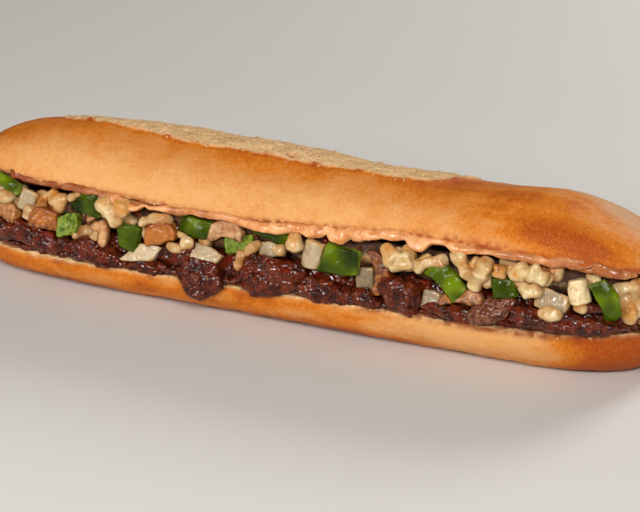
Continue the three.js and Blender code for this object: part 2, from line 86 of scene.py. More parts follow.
SAUCE_DEPTH = 1.95

# The view of the photograph
VIEW_AZIMUTH = math.radians(23.5)
VIEW_ELEVATION = math.radians(24.3)
VIEW_DISTANCE = 1.108
VIEW_TARGET = Vector((0.002, 0.00186, 0.0179))
VIEW_LENS = 157.95
SENSOR_WIDTH = 36.0

STEAK_COUNT = 14


def tint(red, green, blue):
    """A screen colour from 0 to 255 as a linear colour."""
    def linear(value):
        value /= 255
        return value / 12.92 if value <= 0.04045 else ((value + 0.055) / 1.055) ** 2.4
    return (linear(red), linear(green), linear(blue), 1.0)


def colour_setting(name, description, default):
    return bpy.props.FloatVectorProperty(
        name=name, description=description, default=default, subtype="COLOR", size=4, min=0, max=1)


def length_setting(name, description, default):
    return bpy.props.FloatProperty(
        name=name, description=description, default=default, unit="LENGTH", precision=5)


class SandwichSizes(bpy.types.PropertyGroup):
    """Sizes of the fine forms."""
    crust_mesh: length_setting("Crust mesh", "Width of a face of the roll", 1.3 * MM)
    filling_mesh: length_setting("Filling mesh", "Width of a face of cheese, sauce and meat", 0.75 * MM)
    piece_mesh: length_setting("Piece mesh", "Width of a face of a cut piece", 0.36 * MM)
    crust_dent: length_setting("Crust dents", "Depth of the broad dents of the crust", 0.35 * MM)
    crag_height: length_setting("Crags", "Height of the crags on the lips of the burst", 0.9 * MM)
    steak_lump: length_setting("Steak lumps", "Height of the folds of the steak", 1.3 * MM)
    steak_grain: length_setting("Steak grain", "Height of the coarse grain of the steak", 0.8 * MM)
    cheese_lump: length_setting("Cheese lumps", "Height of the lumps of melted cheese", 1.1 * MM)
    floor_width: length_setting("Floor", "Width of the floor", 8.0)


class SandwichColours(bpy.types.PropertyGroup):
    """Colours of the food and of the floor."""
    crust_pale: colour_setting("Pale crust", "Crust where it baked least", tint(227, 168, 104))
    crust_brown: colour_setting("Brown crust", "Crust where it browned", tint(211, 119, 26))
    crust_dark: colour_setting("Dark crust", "Crust at its darkest", tint(172, 78, 16))
    crumb: colour_setting("Crumb", "Soft inside of the roll, floury", tint(234, 192, 142))
    # Also painted into the burst's largest pore, as its shade
    soak: colour_setting("Soaked edge", "Edge of the crust, crisp and soaked", tint(158, 66, 28))
    sauce: colour_setting("Sauce", "Pink-brown sauce", tint(244, 180, 122))
    steak: colour_setting("Steak", "Fried steak", tint(100, 36, 16))
    steak_dark: colour_setting("Dark steak", "Charred and wet steak", tint(48, 14, 5))
    glaze: colour_setting("Glaze", "Red glaze of the steak", tint(112, 24, 8))
    cheese: colour_setting("Cheese", "Melted cheese", tint(226, 204, 156))
    cheese_toast: colour_setting("Toasted cheese", "Cheese browned by the grill", tint(206, 140, 62))
    pepper: colour_setting("Pepper skin", "Green skin", tint(94, 118, 0))
    pepper_dark: colour_setting("Dark pepper", "Dark green skin", tint(22, 38, 0))
    pepper_flesh: colour_setting("Pepper flesh", "Pale green cut edge", tint(132, 148, 50))
    onion: colour_setting("Onion", "Soft cooked onion", tint(222, 200, 166))
    onion_vein: colour_setting("Onion veins", "Veins of the onion", tint(184, 150, 98))
    mushroom: colour_setting("Mushroom", "Cut flesh of a fried mushroom", tint(222, 174, 122))
    mushroom_skin: colour_setting("Mushroom skin", "Fried skin and gills", tint(140, 66, 16))
    floor: colour_setting("Floor", "Plain pale floor", tint(214, 212, 208))


# Arrays of points


def smooth_step(value, low, high):
    t = np.clip((value - low) / (high - low), 0, 1)
    return t * t * (3 - 2 * t)


def plateau(value, low, high, soft):
    """1 inside a stretch, 0 outside it, with soft ends."""
    rise = smooth_step(value, low - soft / 2, low + soft / 2)
    return rise * (1 - smooth_step(value, high - soft / 2, high + soft / 2))


def falloff(distance, width):
    """1 at no distance, falling off softly over a width."""
    return np.exp(-(distance / width) ** 2)


def signed_power(value, exponent):
    return np.sign(value) * np.abs(value) ** exponent


def lump_noise(points, size, seed=0):
    """Smooth noise from -1 to 1 at each point, with lumps of about the given size."""
    place = points / size + 37.7 * seed
    cell = np.floor(place).astype(np.int64)
    part = place - cell
    fade = part * part * part * (part * (part * 6 - 15) + 10)
    total = np.zeros(len(points))
    for corner in itertools.product((0, 1), repeat=3):
        key = (cell + corner) * (73856093, 19349663, 83492791)
        mixed = key[:, 0] ^ key[:, 1] ^ key[:, 2]
        mixed = ((mixed ^ (mixed >> 13)) * 1274126177) & 0x7FFFFFFF
        value = (mixed ^ (mixed >> 16)) & 0xFFFF
        weight = np.prod(np.where(corner, fade, 1 - fade), axis=1)
        total += weight * (value / 32767.5 - 1)
    return total


def rough_noise(points, size, seed=0, octaves=3):
    """Noise with finer and finer lumps on the broad ones."""
    return sum(lump_noise(points, size / 2 ** k, seed + 3 * k) / 2 ** k for k in range(octaves))


# Plan and profile of the roll, in its own millimetres


def reach_part(x):
    return np.minimum(np.abs(x) / HALF_LENGTH, 1)


def half_width(x):
    return HALF_WIDTH * np.sqrt(1 - reach_part(x) ** PLAN_BLUNTNESS)


def cut_height(x):
    return CUT_HEIGHT + CUT_SLOPE * x


def lid_height(x):
    shoulder = SHOULDER * falloff(x - SHOULDER_X, SHOULDER_REACH)
    bluntness = np.where(x < 0, LID_BLUNTNESS_LOW, LID_BLUNTNESS)
    return (LID_HEIGHT + LID_SLOPE * x + shoulder) * np.sqrt(1 - reach_part(x) ** bluntness)


def base_depth(x):
    return (cut_height(x) + SOLE_CROP) * (1 - reach_part(x) ** BASE_BLUNTNESS) ** BASE_TIP


def crust_wave(x, angle):
    return 0.5 * np.sin(x / 17 + 2 * angle) + 0.4 * np.sin(x / 9.5 - 3 * angle + 1)


def edge_wave(x):
    tip = np.clip((-x - 104) / 30, 0, 1.2)
    return 1.5 * np.sin(2 * math.pi * (x - 15) / 150) + 4.5 * tip ** 1.5


def on_open_lid(x, y, z):
    """A point of the closed lid's section, turned open about the hinge."""
    dy = y - HINGE_Y
    open_y = HINGE_Y + dy * math.cos(OPEN_ANGLE) + z * math.sin(OPEN_ANGLE)
    open_z = cut_height(x) + HINGE_RISE - dy * math.sin(OPEN_ANGLE) + z * math.cos(OPEN_ANGLE)
    return np.stack(np.broadcast_arrays(x, open_y, open_z), axis=-1)


def in_closed_lid(points):
    """The way back: y and z of each point in the closed lid's section."""
    dy = points[:, 1] - HINGE_Y
    dz = points[:, 2] - cut_height(points[:, 0]) - HINGE_RISE
    y = HINGE_Y + dy * math.cos(OPEN_ANGLE) - dz * math.sin(OPEN_ANGLE)
    return y, dy * math.sin(OPEN_ANGLE) + dz * math.cos(OPEN_ANGLE)


def lid_ring(x, count=96):
    angle = np.linspace(0, math.pi, count)
    side, up = np.cos(angle), np.maximum(np.sin(angle), 0)
    y = -half_width(x) * signed_power(side, LID_SQUARENESS)
    z = lid_height(x) * up ** LID_SQUARENESS + crust_wave(x, angle) * up
    return on_open_lid(x, y, z + edge_wave(x) * np.maximum(side, 0) ** 3)


def base_ring(x, count=72):
    angle = np.linspace(0, math.pi, count)
    y = -half_width(x) * signed_power(np.cos(angle), BASE_SQUARENESS)
    z = cut_height(x) - base_depth(x) * np.maximum(np.sin(angle), 0) ** BASE_SQUARENESS
    return np.stack(np.broadcast_arrays(x, y, np.maximum(z, 0)), axis=-1)


def hinge_ring(x):
    w, cut = float(half_width(x)), float(cut_height(x))
    low = [(x, w - 15, cut + 3), (x, w - 14, cut - 3), (x, w - 1.5, cut - 5), (x, w - 1.2, cut + 0.6)]
    high = [on_open_lid(x, w - 1.6, 5), on_open_lid(x, w - 14, 4)]
    return np.array(low + high)


def stations(reach, count):
    """Places along the roll, closer together where the ends round off."""
    s = np.linspace(-1, 1, count + 1)
    return reach * np.sign(s) * (1 - (1 - np.abs(s)) ** 1.7)


# The burst: the pale band along the top, where the scored crust opened in the oven


def burst_front(x):
    curve = -22 + 9.7 * np.abs((x + 10) / 100) ** 2.4
    return curve + 17 * smooth_step(x, 48, 66) + 22 * smooth_step(-x, 110, 120)


def burst_back(x):
    return 9.5 - 10 * smooth_step(np.abs(x + 24), 58, 98)


# Torn crags on the lips of the burst: place along the roll, and on which lip
CRAGS = (
    (-15.4, "front"), (4.4, "front"), (22.9, "front"), (-60.4, "front"), (-97.0, "front"), (58.0, "front"),
    (-34.7, "back"), (-18.5, "back"), (-14.1, "back"), (-0.6, "back"), (18.7, "back"), (44.0, "back"),
)
CRAG_LENGTH, CRAG_WIDTH = 1.7, 1.2
HOLE = (-6.1, -18.8)  # the largest pore of the burst
HOLE_LENGTH, HOLE_WIDTH = 2.4, 1.2


# Meshes


def new_object(name, mesh):
    thing = bpy.data.objects.new(name, mesh)
    bpy.context.scene.collection.objects.link(thing)
    return thing


def loft_parts(rings, start):
    """Points and faces of a closed skin over rings of equal length, numbered from start."""
    count = len(rings[0])
    points = [tuple(p) for ring in rings for p in ring]
    faces = []
    for r in range(len(rings) - 1):
        for i in range(count):
            a, b = start + r * count + i, start + r * count + (i + 1) % count
            faces.append((a, b, b + count, a + count))
    for r, turn in ((0, -1), (len(rings) - 1, 1)):
        centre = start + len(points)
        points.append(tuple(np.mean(rings[r], axis=0)))
        for i in range(count):
            a, b = start + r * count + i, start + r * count + (i + 1) % count
            faces.append((centre, a, b)[::turn])
    return points, faces


def mesh_of_lofts(name, lofts):
    """One mesh, in metres and in the frame, from several closed skins given in the roll's millimetres."""
    points, faces = [], []
    for rings in lofts:
        more_points, more_faces = loft_parts(rings, len(points))
        points += more_points
        faces += more_faces
    mesh = bpy.data.meshes.new(name)
    mesh.from_pydata([(x * MM, (y + SHIFT_Y) * MM, z * MM) for x, y, z in points], [], faces)
    tidy = bmesh.new()
    tidy.from_mesh(mesh)
    bmesh.ops.recalc_face_normals(tidy, faces=tidy.faces)
    tidy.to_mesh(mesh)
    tidy.free()
    return mesh


def copied(node, name):
    """A copy of a solid's mesh with its corners merged."""
    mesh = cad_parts[node].data.copy()
    mesh.name = name
    mesh.materials.clear()
    tidy = bmesh.new()
    tidy.from_mesh(mesh)
    bmesh.ops.remove_doubles(tidy, verts=tidy.verts, dist=2e-6)
    tidy.to_mesh(mesh)
    tidy.free()
    return new_object(name, mesh)


def read_vectors(items, key):
    flat = np.empty(3 * len(items))
    items.foreach_get(key, flat)
    return flat.reshape(-1, 3)


def own_points(mesh):
    """The mesh's points in the roll's own millimetres."""
    return read_vectors(mesh.vertices, "co") / MM - (0, SHIFT_Y, 0)


def move_along_normals(mesh, distance):
    """Moves each point along its normal by its distance in millimetres."""
    points = read_vectors(mesh.vertices, "co")
    normals = read_vectors(mesh.vertex_normals, "vector")
    points += normals * np.reshape(distance, (-1, 1)) * MM
    mesh.vertices.foreach_set("co", points.ravel())
    mesh.update()


def paint(mesh, **masks):
    """Stores one number for each point under each name, which materials read."""
    for name, values in masks.items():
        layer = mesh.attributes.get(name) or mesh.attributes.new(name, "FLOAT", "POINT")
        layer.data.foreach_set("value", np.broadcast_to(values, len(mesh.vertices)).astype(np.float32))


def settle(thing):
    """Turns the result of an object's modifiers into its plain mesh."""
    depsgraph = bpy.context.evaluated_depsgraph_get()
    mesh = bpy.data.meshes.new_from_object(
        thing.evaluated_get(depsgraph), preserve_all_data_layers=True, depsgraph=depsgraph)
    old = thing.data
    thing.modifiers.clear()
    thing.data = mesh
    mesh.name = thing.name
    bpy.data.meshes.remove(old)


def remeshed(thing, width, rounds):
    """An even mesh over an object's shape, with its corners eased."""
    remesh = thing.modifiers.new("Even mesh", "REMESH")
    remesh.mode = "VOXEL"
    remesh.voxel_size = width
    remesh.adaptivity = 0
    ease = thing.modifiers.new("Ease", "SMOOTH")
    ease.factor = 0.5
    ease.iterations = rounds
    settle(thing)


def run_tree(thing, tree, values):
    """Runs a Geometry Nodes tree over an object with values for its named inputs."""
    modifier = thing.modifiers.new(tree.name, "NODES")
    modifier.node_group = tree
    for item in tree.interface.items_tree:
        if item.item_type == "SOCKET" and item.in_out == "INPUT" and item.name in values:
            modifier[item.identifier] = values[item.name]
    settle(thing)


def cook(thing, slot, seed, lump, grain, swell=0.0, warp=(7 * MM, 0.0)):
    """Gives a piece its folds, grain and bends, each as a size and a height, and swells it."""
    run_tree(thing, TREES["surface"], {
        "Lump Size": lump[0], "Lump Height": lump[1], "Grain Size": grain[0], "Grain Height": grain[1],
        "Swell": swell, "Warp Size": warp[0], "Warp": warp[1], "Seed": float(seed),
        "Material": MATERIALS[slot]})


def scattered(roll, name, mask, spread, radius, flatness, seed):
    """Lumps of crust where a painted mask marks the roll, so many for each square metre."""
    lumps = new_object(name, roll.data.copy())
    run_tree(lumps, TREES["scatter"], {
        "Spread": spread, "Radius": radius, "Flatness": flatness, "Seed": seed, "Mask": mask,
        "Material": MATERIALS["crust"]})
    return lumps


def dress(thing, slot, *nodes):
    """Gives a finished piece its material and its place in the frame."""
    thing.data.materials.clear()
    thing.data.materials.append(MATERIALS[slot])
    thing.data.polygons.foreach_set("material_index", [0] * len(thing.data.polygons))
    thing.data.shade_smooth()
    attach(thing, "root")
    if nodes:
        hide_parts(*nodes)


# Which way a piece's thin, middle and long axes are taken to point
AXIS_HINTS = ((0.2, -1.0, 0.3), (1.0, 0.1, 1.2), (1.0, 0.1, 1.2))


def lay_out_axes(mesh):
    """Paints each point's place along the piece's own three axes, from -1 to 1."""
    points = read_vectors(mesh.vertices, "co")
    offset = points - points.mean(axis=0)
    _, axes = np.linalg.eigh(offset.T @ offset)
    places = []
    for axis, hint in zip(axes.T, AXIS_HINTS):
        along = offset @ (axis * np.sign(axis @ np.array(hint) or 1.0))
        reach = max(np.percentile(np.abs(along), 99.5), 1e-6)
        places.append(along / reach)
    thin, middle, long = places
    paint(mesh, thin=thin, middle=middle, long=long)
    return places


# Node trees

FLOAT, GEOMETRY = "NodeSocketFloat", "NodeSocketGeometry"
MEAN_COLOUR = (0.5, 0.5, 0.5)  # of a noise


def add_node(tree, kind, inputs=None, **settings):
    """Adds a node; an input given as another node's output socket is linked."""
    node = tree.nodes.new(kind)
    for key, value in settings.items():
        setattr(node, key, value)
    for key, value in (inputs or {}).items():
        if isinstance(value, bpy.types.NodeSocket):
            tree.links.new(value, node.inputs[key])
        else:
            node.inputs[key].default_value = value
    return node


def math_node(tree, operation, a, b=0.0):
    return add_node(tree, "ShaderNodeMath", {0: a, 1: b}, operation=operation).outputs[0]


def vector_node(tree, operation, a, b):
    second = "Scale" if operation == "SCALE" else 1
    return add_node(tree, "ShaderNodeVectorMath", {0: a, second: b}, operation=operation).outputs[0]


def scaled_range(tree, value, low, high, out_low=0.0, out_high=1.0, kind="SMOOTHSTEP"):
    inputs = {"Value": value, "From Min": low, "From Max": high, "To Min": out_low, "To Max": out_high}
    return add_node(tree, "ShaderNodeMapRange", inputs, interpolation_type=kind).outputs["Result"]


def new_tree(name, kind, inputs, output, output_type):
    """A node group with named sockets, an input given by its default number or its type."""
    tree = bpy.data.node_groups.new(name, kind)
    for key, value in inputs.items():
        if isinstance(value, str):
            tree.interface.new_socket(name=key, in_out="INPUT", socket_type=value)
        else:
            socket = tree.interface.new_socket(name=key, in_out="INPUT", socket_type=FLOAT)
            socket.default_value = value
    tree.interface.new_socket(name=output, in_out="OUTPUT", socket_type=output_type)
    return tree, tree.nodes.new("NodeGroupInput"), tree.nodes.new("NodeGroupOutput")


def pattern(tree, start, place, size, output, inputs, kind="Noise", **settings):
    """Noise or cells of a size that the group's input gives, with the group's seed."""
    scale = math_node(tree, "DIVIDE", 1.0, start.outputs[size])
    settings[kind.lower() + "_dimensions"] = "4D"
    inputs = {"Vector": place, "W": start.outputs["Seed"], "Scale": scale, **inputs}
    return add_node(tree, "ShaderNodeTex" + kind, inputs, **settings).outputs[output]


def ended(tree, start, end, geometry):
    """Ends a tree in Realize Instances and Set Material."""
    real = add_node(tree, "GeometryNodeRealizeInstances", {"Geometry": geometry}).outputs[0]
    inputs = {"Geometry": real, "Material": start.outputs["Material"]}
    named = add_node(tree, "GeometryNodeSetMaterial", inputs)
    tree.links.new(named.outputs[0], end.inputs["Geometry"])
    return tree


def cooked_surface_tree():
    """Raises broad folds and a coarse grain along a piece's normals, and bends it."""
    tree, start, end = new_tree("Cooked Surface", "GeometryNodeTree", {
        "Geometry": GEOMETRY, "Lump Size": 6 * MM, "Lump Height": 1 * MM, "Grain Size": 1.5 * MM,
        "Grain Height": 0.4 * MM, "Swell": 0.0, "Warp Size": 7 * MM, "Warp": 0.0, "Seed": 0.0,
        "Material": "NodeSocketMaterial"}, "Geometry", GEOMETRY)
    place = add_node(tree, "GeometryNodeInputPosition").outputs[0]
    normal = add_node(tree, "GeometryNodeInputNormal").outputs[0]
    lumps = pattern(tree, start, place, "Lump Size", "Fac", {"Detail": 2.0, "Roughness": 0.45})
    lumps = math_node(tree, "SUBTRACT", lumps, 0.5)
    lumps = math_node(tree, "MULTIPLY", lumps, start.outputs["Lump Height"])
    grains = pattern(
        tree, start, place, "Grain Size", "Distance", {"Smoothness": 0.6}, "Voronoi", feature="SMOOTH_F1")
    grains = math_node(tree, "SUBTRACT", 0.45, grains)
    grains = math_node(tree, "MULTIPLY", grains, start.outputs["Grain Height"])
    rise = math_node(tree, "ADD", math_node(tree, "MULTIPLY", lumps, 2.0), grains)
    rise = math_node(tree, "ADD", rise, start.outputs["Swell"])
    bends = pattern(tree, start, place, "Warp Size", "Color", {"Detail": 1.0})
    bends = vector_node(tree, "SUBTRACT", bends, MEAN_COLOUR)
    bends = vector_node(tree, "SCALE", bends, start.outputs["Warp"])
    offset = vector_node(tree, "ADD", vector_node(tree, "SCALE", normal, rise), bends)
    inputs = {"Geometry": start.outputs["Geometry"], "Offset": offset}
    moved = add_node(tree, "GeometryNodeSetPosition", inputs)
    return ended(tree, start, end, moved.outputs[0])


def scatter_tree():
    """Scatters small uneven lumps over the part of a mesh that a painted mask marks."""
    tree, start, end = new_tree("Scattered Lumps", "GeometryNodeTree", {
        "Geometry": GEOMETRY, "Spread": 1000.0, "Radius": 0.5 * MM, "Flatness": 0.5,
        "Seed": "NodeSocketInt", "Mask": "NodeSocketString", "Material": "NodeSocketMaterial",
    }, "Geometry", GEOMETRY)
    inputs = {"Name": start.outputs["Mask"]}
    mask = add_node(tree, "GeometryNodeInputNamedAttribute", inputs, data_type="FLOAT").outputs["Attribute"]
    density = math_node(tree, "MULTIPLY", mask, start.outputs["Spread"])
    spots = add_node(tree, "GeometryNodeDistributePointsOnFaces", {
        "Mesh": start.outputs["Geometry"], "Density": density, "Seed": start.outputs["Seed"]})
    inputs = {"Radius": start.outputs["Radius"], "Subdivisions": 2}
    lump = add_node(tree, "GeometryNodeMeshIcoSphere", inputs)
    chances = [
        add_node(tree, "FunctionNodeRandomValue", {2: low, 3: high, "Seed": seed}, data_type="FLOAT")
        for low, high, seed in ((0.35, 1.0, 5), (0.6, 1.3, 9))]
    size, stretch = (chance.outputs[1] for chance in chances)
    height = math_node(tree, "MULTIPLY", size, start.outputs["Flatness"])
    length = math_node(tree, "MULTIPLY", size, stretch)
    scale = add_node(tree, "ShaderNodeCombineXYZ", {0: length, 1: size, 2: height}).outputs[0]
    placed = add_node(tree, "GeometryNodeInstanceOnPoints", {
        "Points": spots.outputs["Points"], "Instance": lump.outputs["Mesh"],
        "Rotation": spots.outputs["Rotation"], "Scale": scale})
    real = add_node(tree, "GeometryNodeRealizeInstances", {"Geometry": placed.outputs[0]}).outputs[0]
    place = add_node(tree, "GeometryNodeInputPosition").outputs[0]
    bumps = add_node(tree, "ShaderNodeTexNoise", {"Vector": place, "Scale": 1500.0, "Detail": 1.0})
    centred = vector_node(tree, "SUBTRACT", bumps.outputs["Color"], MEAN_COLOUR)
    offset = vector_node(tree, "SCALE", centred, start.outputs["Radius"])
    moved = add_node(tree, "GeometryNodeSetPosition", {"Geometry": real, "Offset": offset})
    return ended(tree, start, end, moved.outputs[0])


def mottle_group():
    """Soft uneven patches: a mask from 0 to 1 over the surface."""
    inputs = {"Size": 10 * MM, "Detail": 3.0, "Low": 0.4, "High": 0.6, "Seed": 0.0}
    tree, start, end = new_tree("Mottle", "ShaderNodeTree", inputs, "Mask", FLOAT)
    place = add_node(tree, "ShaderNodeTexCoord").outputs["Object"]
    inputs = {"Detail": start.outputs["Detail"], "Roughness": 0.6}
    noise = pattern(tree, start, place, "Size", "Fac", inputs)
    mask = scaled_range(tree, noise, start.outputs["Low"], start.outputs["High"])
    tree.links.new(mask, end.inputs["Mask"])
    return tree


def pore_group():
    """Small round pits: a height of 1 between them and 0 at their middles."""
    inputs = {"Size": 1 * MM, "Width": 0.35, "Seed": 0.0}
    tree, start, end = new_tree("Pores", "ShaderNodeTree", inputs, "Height", FLOAT)
    place = add_node(tree, "ShaderNodeTexCoord").outputs["Object"]
    cells = pattern(tree, start, place, "Size", "Distance", {}, "Voronoi", feature="F1")
    height = scaled_range(tree, cells, 0.05, start.outputs["Width"])
    tree.links.new(height, end.inputs["Height"])
    return tree


class Finish:
    """A material with one Principled shader, and the groups that several finishes share."""

    groups = {}

    def __init__(self, name, specular=0.5, rough=0.5, glow=None):
        """Glow is the light that spreads inside: its weight, its reach by colour, and its scale in mm."""
        self.material = bpy.data.materials.new(name)
        self.material.use_nodes = True
        self.tree = self.material.node_tree
        self.shader = self.tree.nodes["Principled BSDF"]
        values = {"Roughness": rough, "Specular IOR Level": specular}
        if glow:
            values["Subsurface Weight"], values["Subsurface Radius"] = glow[:2]
            values["Subsurface Scale"] = glow[2] * MM
        for key, value in values.items():
            self.shader.inputs[key].default_value = value

    def shared(self, group, output, values):
        return add_node(self.tree, "ShaderNodeGroup", values, node_tree=self.groups[group]).outputs[output]

    def mottle(self, size, low, high, seed=0.0, detail=3.0):
        values = {"Size": size * MM, "Low": low, "High": high, "Seed": seed, "Detail": detail}
        return self.shared("mottle", "Mask", values)

    def pores(self, size, width, seed=0.0):
        return self.shared("pores", "Height", {"Size": size * MM, "Width": width, "Seed": seed})

    def mix(self, factor, first, second):
        inputs = {0: factor, 6: first, 7: second}
        return add_node(self.tree, "ShaderNodeMix", inputs, data_type="RGBA").outputs[2]

    def painted(self, name):
        return add_node(self.tree, "ShaderNodeAttribute", attribute_name=name).outputs["Fac"]

    def range(self, value, low, high, out_low=0.0, out_high=1.0):
        return scaled_range(self.tree, value, low, high, out_low, out_high)

    def slope(self, value, low, high):
        return scaled_range(self.tree, value, low, high, kind="LINEAR")

    def math(self, operation, a, b):
        return math_node(self.tree, operation, a, b)

    def times(self, a, b):
        return math_node(self.tree, "MULTIPLY", a, b)

    def use(self, **sockets):
        for key, value in sockets.items():
            self.tree.links.new(value, self.shader.inputs[key.replace("_", " ")])

    def relief(self, *layers):
        """Stacks bumps, each a height socket with its depth in millimetres."""
        normal = {}
        for height, depth in layers:
            inputs = {"Height": height, "Distance": depth * MM, "Strength": 1.0, **normal}
            normal = {"Normal": add_node(self.tree, "ShaderNodeBump", inputs).outputs["Normal"]}
        self.use(**normal)


# Materials


def crust_finish(colours):
    """Baked crust, mottled brown, with the floury crumb of the burst and of the cut faces."""
    f = Finish("Baked crust", specular=0.12, glow=(0.08, (1.0, 0.5, 0.25), 1.2))
    # This mask is the crust's bake, with the painted light and shade of the base in it
    bake = f.painted("bake")
    for size, seed, strength in ((14, 0, 0.18), (4.5, 3, 0.14), (1.3, 6, 0.2), (0.7, 9, 0.2)):
        patches = f.math("SUBTRACT", f.mottle(size, 0.3, 0.7, seed), 0.5)
        bake = f.math("ADD", bake, f.times(patches, strength))
    crust = f.mix(f.slope(bake, 0.0, 0.7), colours.crust_pale, colours.crust_brown)
    crust = f.mix(f.slope(bake, 0.65, 1.15), crust, colours.crust_dark)
    crust = f.mix(f.painted("flour"), crust, tint(216, 168, 122))
    specks = f.math("SUBTRACT", 1.0, f.pores(0.7, 0.55, 7))
    specks = f.times(specks, f.range(bake, 0.2, 0.9, 0.04, 0.26))
    crust = f.mix(specks, crust, tint(248, 190, 112))
    pits = f.pores(1.1, 0.5)
    crumb_tone = f.mix(f.mottle(5, 0.35, 0.7, 11), colours.crumb, tint(204, 164, 112))
    # Painted shade: the crumb is painted darker brown in the middles of its pits
    crumb = f.mix(f.math("SUBTRACT", 1.0, pits), crumb_tone, tint(150, 104, 58))
    tone = f.mix(f.painted("crumb"), crust, crumb)
    # The soaked-edge colour also paints shade into the burst's largest pore
    tone = f.mix(f.painted("soak"), tone, colours.soak)
    tone = f.mix(f.painted("stain"), tone, tint(120, 34, 10))
    f.use(Base_Color=tone)
    rough = f.range(f.painted("crumb"), 0.0, 1.0, 0.46, 0.85)
    f.use(Roughness=f.math("ADD", rough, f.times(f.mottle(4, 0.3, 0.7, 5), 0.12)))
    pit_height = f.times(pits, f.painted("crumb"))
    dimples, skin = f.mottle(2.6, 0.2, 0.8, 21), f.mottle(0.8, 0.2, 0.8, 22, 2.0)
    f.relief((dimples, 0.12), (skin, 0.10), (pit_height, 0.35))
    return f.material


def sauce_finish(colours):
    f = Finish("Pink-brown sauce", specular=0.4, rough=0.2, glow=(0.25, (1.0, 0.4, 0.2), 1.5))
    tone = f.mix(f.mottle(5, 0.35, 0.65), colours.sauce, tint(210, 134, 74))
    tone = f.mix(f.mottle(1.6, 0.6, 0.76, 4), tone, tint(170, 88, 44))
    f.use(Base_Color=f.mix(f.painted("thin"), tone, tint(140, 62, 26)))
    f.relief((f.mottle(2.4, 0.2, 0.8, 8), 0.12))
    return f.material


def cheese_finish(colours):
    f = Finish("Melted cheese", specular=0.4, glow=(0.2, (1.0, 0.7, 0.35), 1.5))
    cream = f.mix(f.mottle(5, 0.35, 0.65, 6), colours.cheese, tint(196, 160, 102))
    toast = f.math("ADD", f.times(f.mottle(6, 0.5, 0.7, 2), 0.5), f.painted("toast"))
    toast = f.times(toast, f.range(f.mottle(1.8, 0.2, 0.8, 3), 0.0, 1.0, 0.6, 1.15))
    tone = f.mix(f.range(toast, 0.05, 0.9), cream, colours.cheese_toast)
    tone = f.mix(f.range(toast, 0.9, 1.3), tone, tint(140, 70, 24))
    # Painted shade: strands turn tan-brown where they lie close to the filling, a contact shade tinted like
    # meat juice
    tone = f.mix(f.times(f.painted("juice"), 0.9), tone, tint(168, 108, 54))
    # Painted shade: where the mass lies back in the gaps between the pieces, it is painted dark brown and
    # made rougher, to stand for the shade there
    dark = f.mix(f.mottle(2.6, 0.35, 0.65, 13), tint(88, 42, 22), tint(26, 10, 6))
    f.use(Base_Color=f.mix(f.painted("depth"), tone, dark))
    f.use(Roughness=f.range(f.painted("depth"), 0.0, 1.0, 0.22, 0.75))
    f.relief((f.mottle(2.2, 0.25, 0.75, 9), 0.12))
    return f.material


def steak_finish(colours):
    """Fried steak under a wet red-brown glaze."""
    f = Finish("Glazed steak", specular=0.36, glow=(0.08, (1.0, 0.2, 0.1), 1.0))
    tone = f.mix(f.mottle(4, 0.38, 0.62), colours.steak, colours.steak_dark)
    tone = f.mix(f.times(f.mottle(7, 0.55, 0.68, 5), 0.8), tone, colours.glaze)
    tone = f.mix(f.times(f.mottle(1.6, 0.56, 0.7, 8), 0.6), tone, tint(148, 70, 34))
    dry = f.mix(f.mottle(1.4, 0.4, 0.6, 31), tint(142, 90, 66), tint(78, 38, 26))
    f.use(Base_Color=f.mix(f.painted("dry"), tone, dry))
    f.use(Roughness=f.range(f.mottle(3, 0.3, 0.7, 12), 0.0, 1.0, 0.06, 0.14))
    beads = f.mottle(2.0, 0.2, 0.8, 14, 0.0)
    f.relief((f.pores(2.0, 0.6, 3), 0.1), (beads, 0.34))
    return f.material


def pepper_finish(colours):
    """Glossy green skin, and pale wet flesh at the cut edges and on the inside."""
    f = Finish("Green pepper", specular=0.24, rough=0.1, glow=(0.15, (0.5, 1.0, 0.2), 1.0))
    skin = f.mix(f.painted("shade"), colours.pepper_dark, colours.pepper)
    skin = f.mix(f.times(f.mottle(10, 0.35, 0.65, 0, 0.0), 0.6), skin, tint(128, 150, 2))
    skin = f.mix(f.times(f.mottle(9, 0.35, 0.65, 7, 0.0), 0.7), skin, colours.pepper_dark)
    flesh = f.mix(f.mottle(1.5, 0.4, 0.65, 5), colours.pepper_flesh, tint(66, 92, 10))
    f.use(Base_Color=f.mix(f.painted("flesh"), skin, flesh))
    wet = f.times(f.mottle(0.9, 0.3, 0.7, 9), f.range(f.painted("flesh"), 0.0, 1.0, 0.35, 1.0))
    f.relief((f.mottle(3, 0.2, 0.8, 11, 0.0), 0.3), (wet, 0.14))
    return f.material


def onion_finish(colours):
    """Half-clear cooked onion with fine veins along the piece."""
    f = Finish("Soft onion", specular=0.45, rough=0.16, glow=(0.55, (1.0, 0.8, 0.6), 2.5))
    along = add_node(f.tree, "ShaderNodeCombineXYZ", {
        0: f.times(f.painted("middle"), 2.4), 1: f.times(f.painted("long"), 0.35),
        2: f.painted("thin")}).outputs[0]
    veins = add_node(f.tree, "ShaderNodeTexNoise", {
        "Vector": along, "Scale": 1.7, "Detail": 1.5, "Distortion": 0.3}).outputs["Fac"]
    veins = f.range(veins, 0.42, 0.62)
    tone = f.mix(f.painted("shade"), tint(122, 106, 80), colours.onion)
    tone = f.mix(f.times(veins, 0.28), tone, colours.onion_vein)
    tone = f.mix(f.times(f.painted("rim"), 0.7), tone, tint(196, 150, 84))
    f.use(Base_Color=f.mix(f.times(f.mottle(2, 0.5, 0.7, 4), 0.35), tone, tint(150, 124, 84)))
    f.relief((veins, 0.08), (f.mottle(2.0, 0.25, 0.75, 9, 0.0), 0.16))
    return f.material


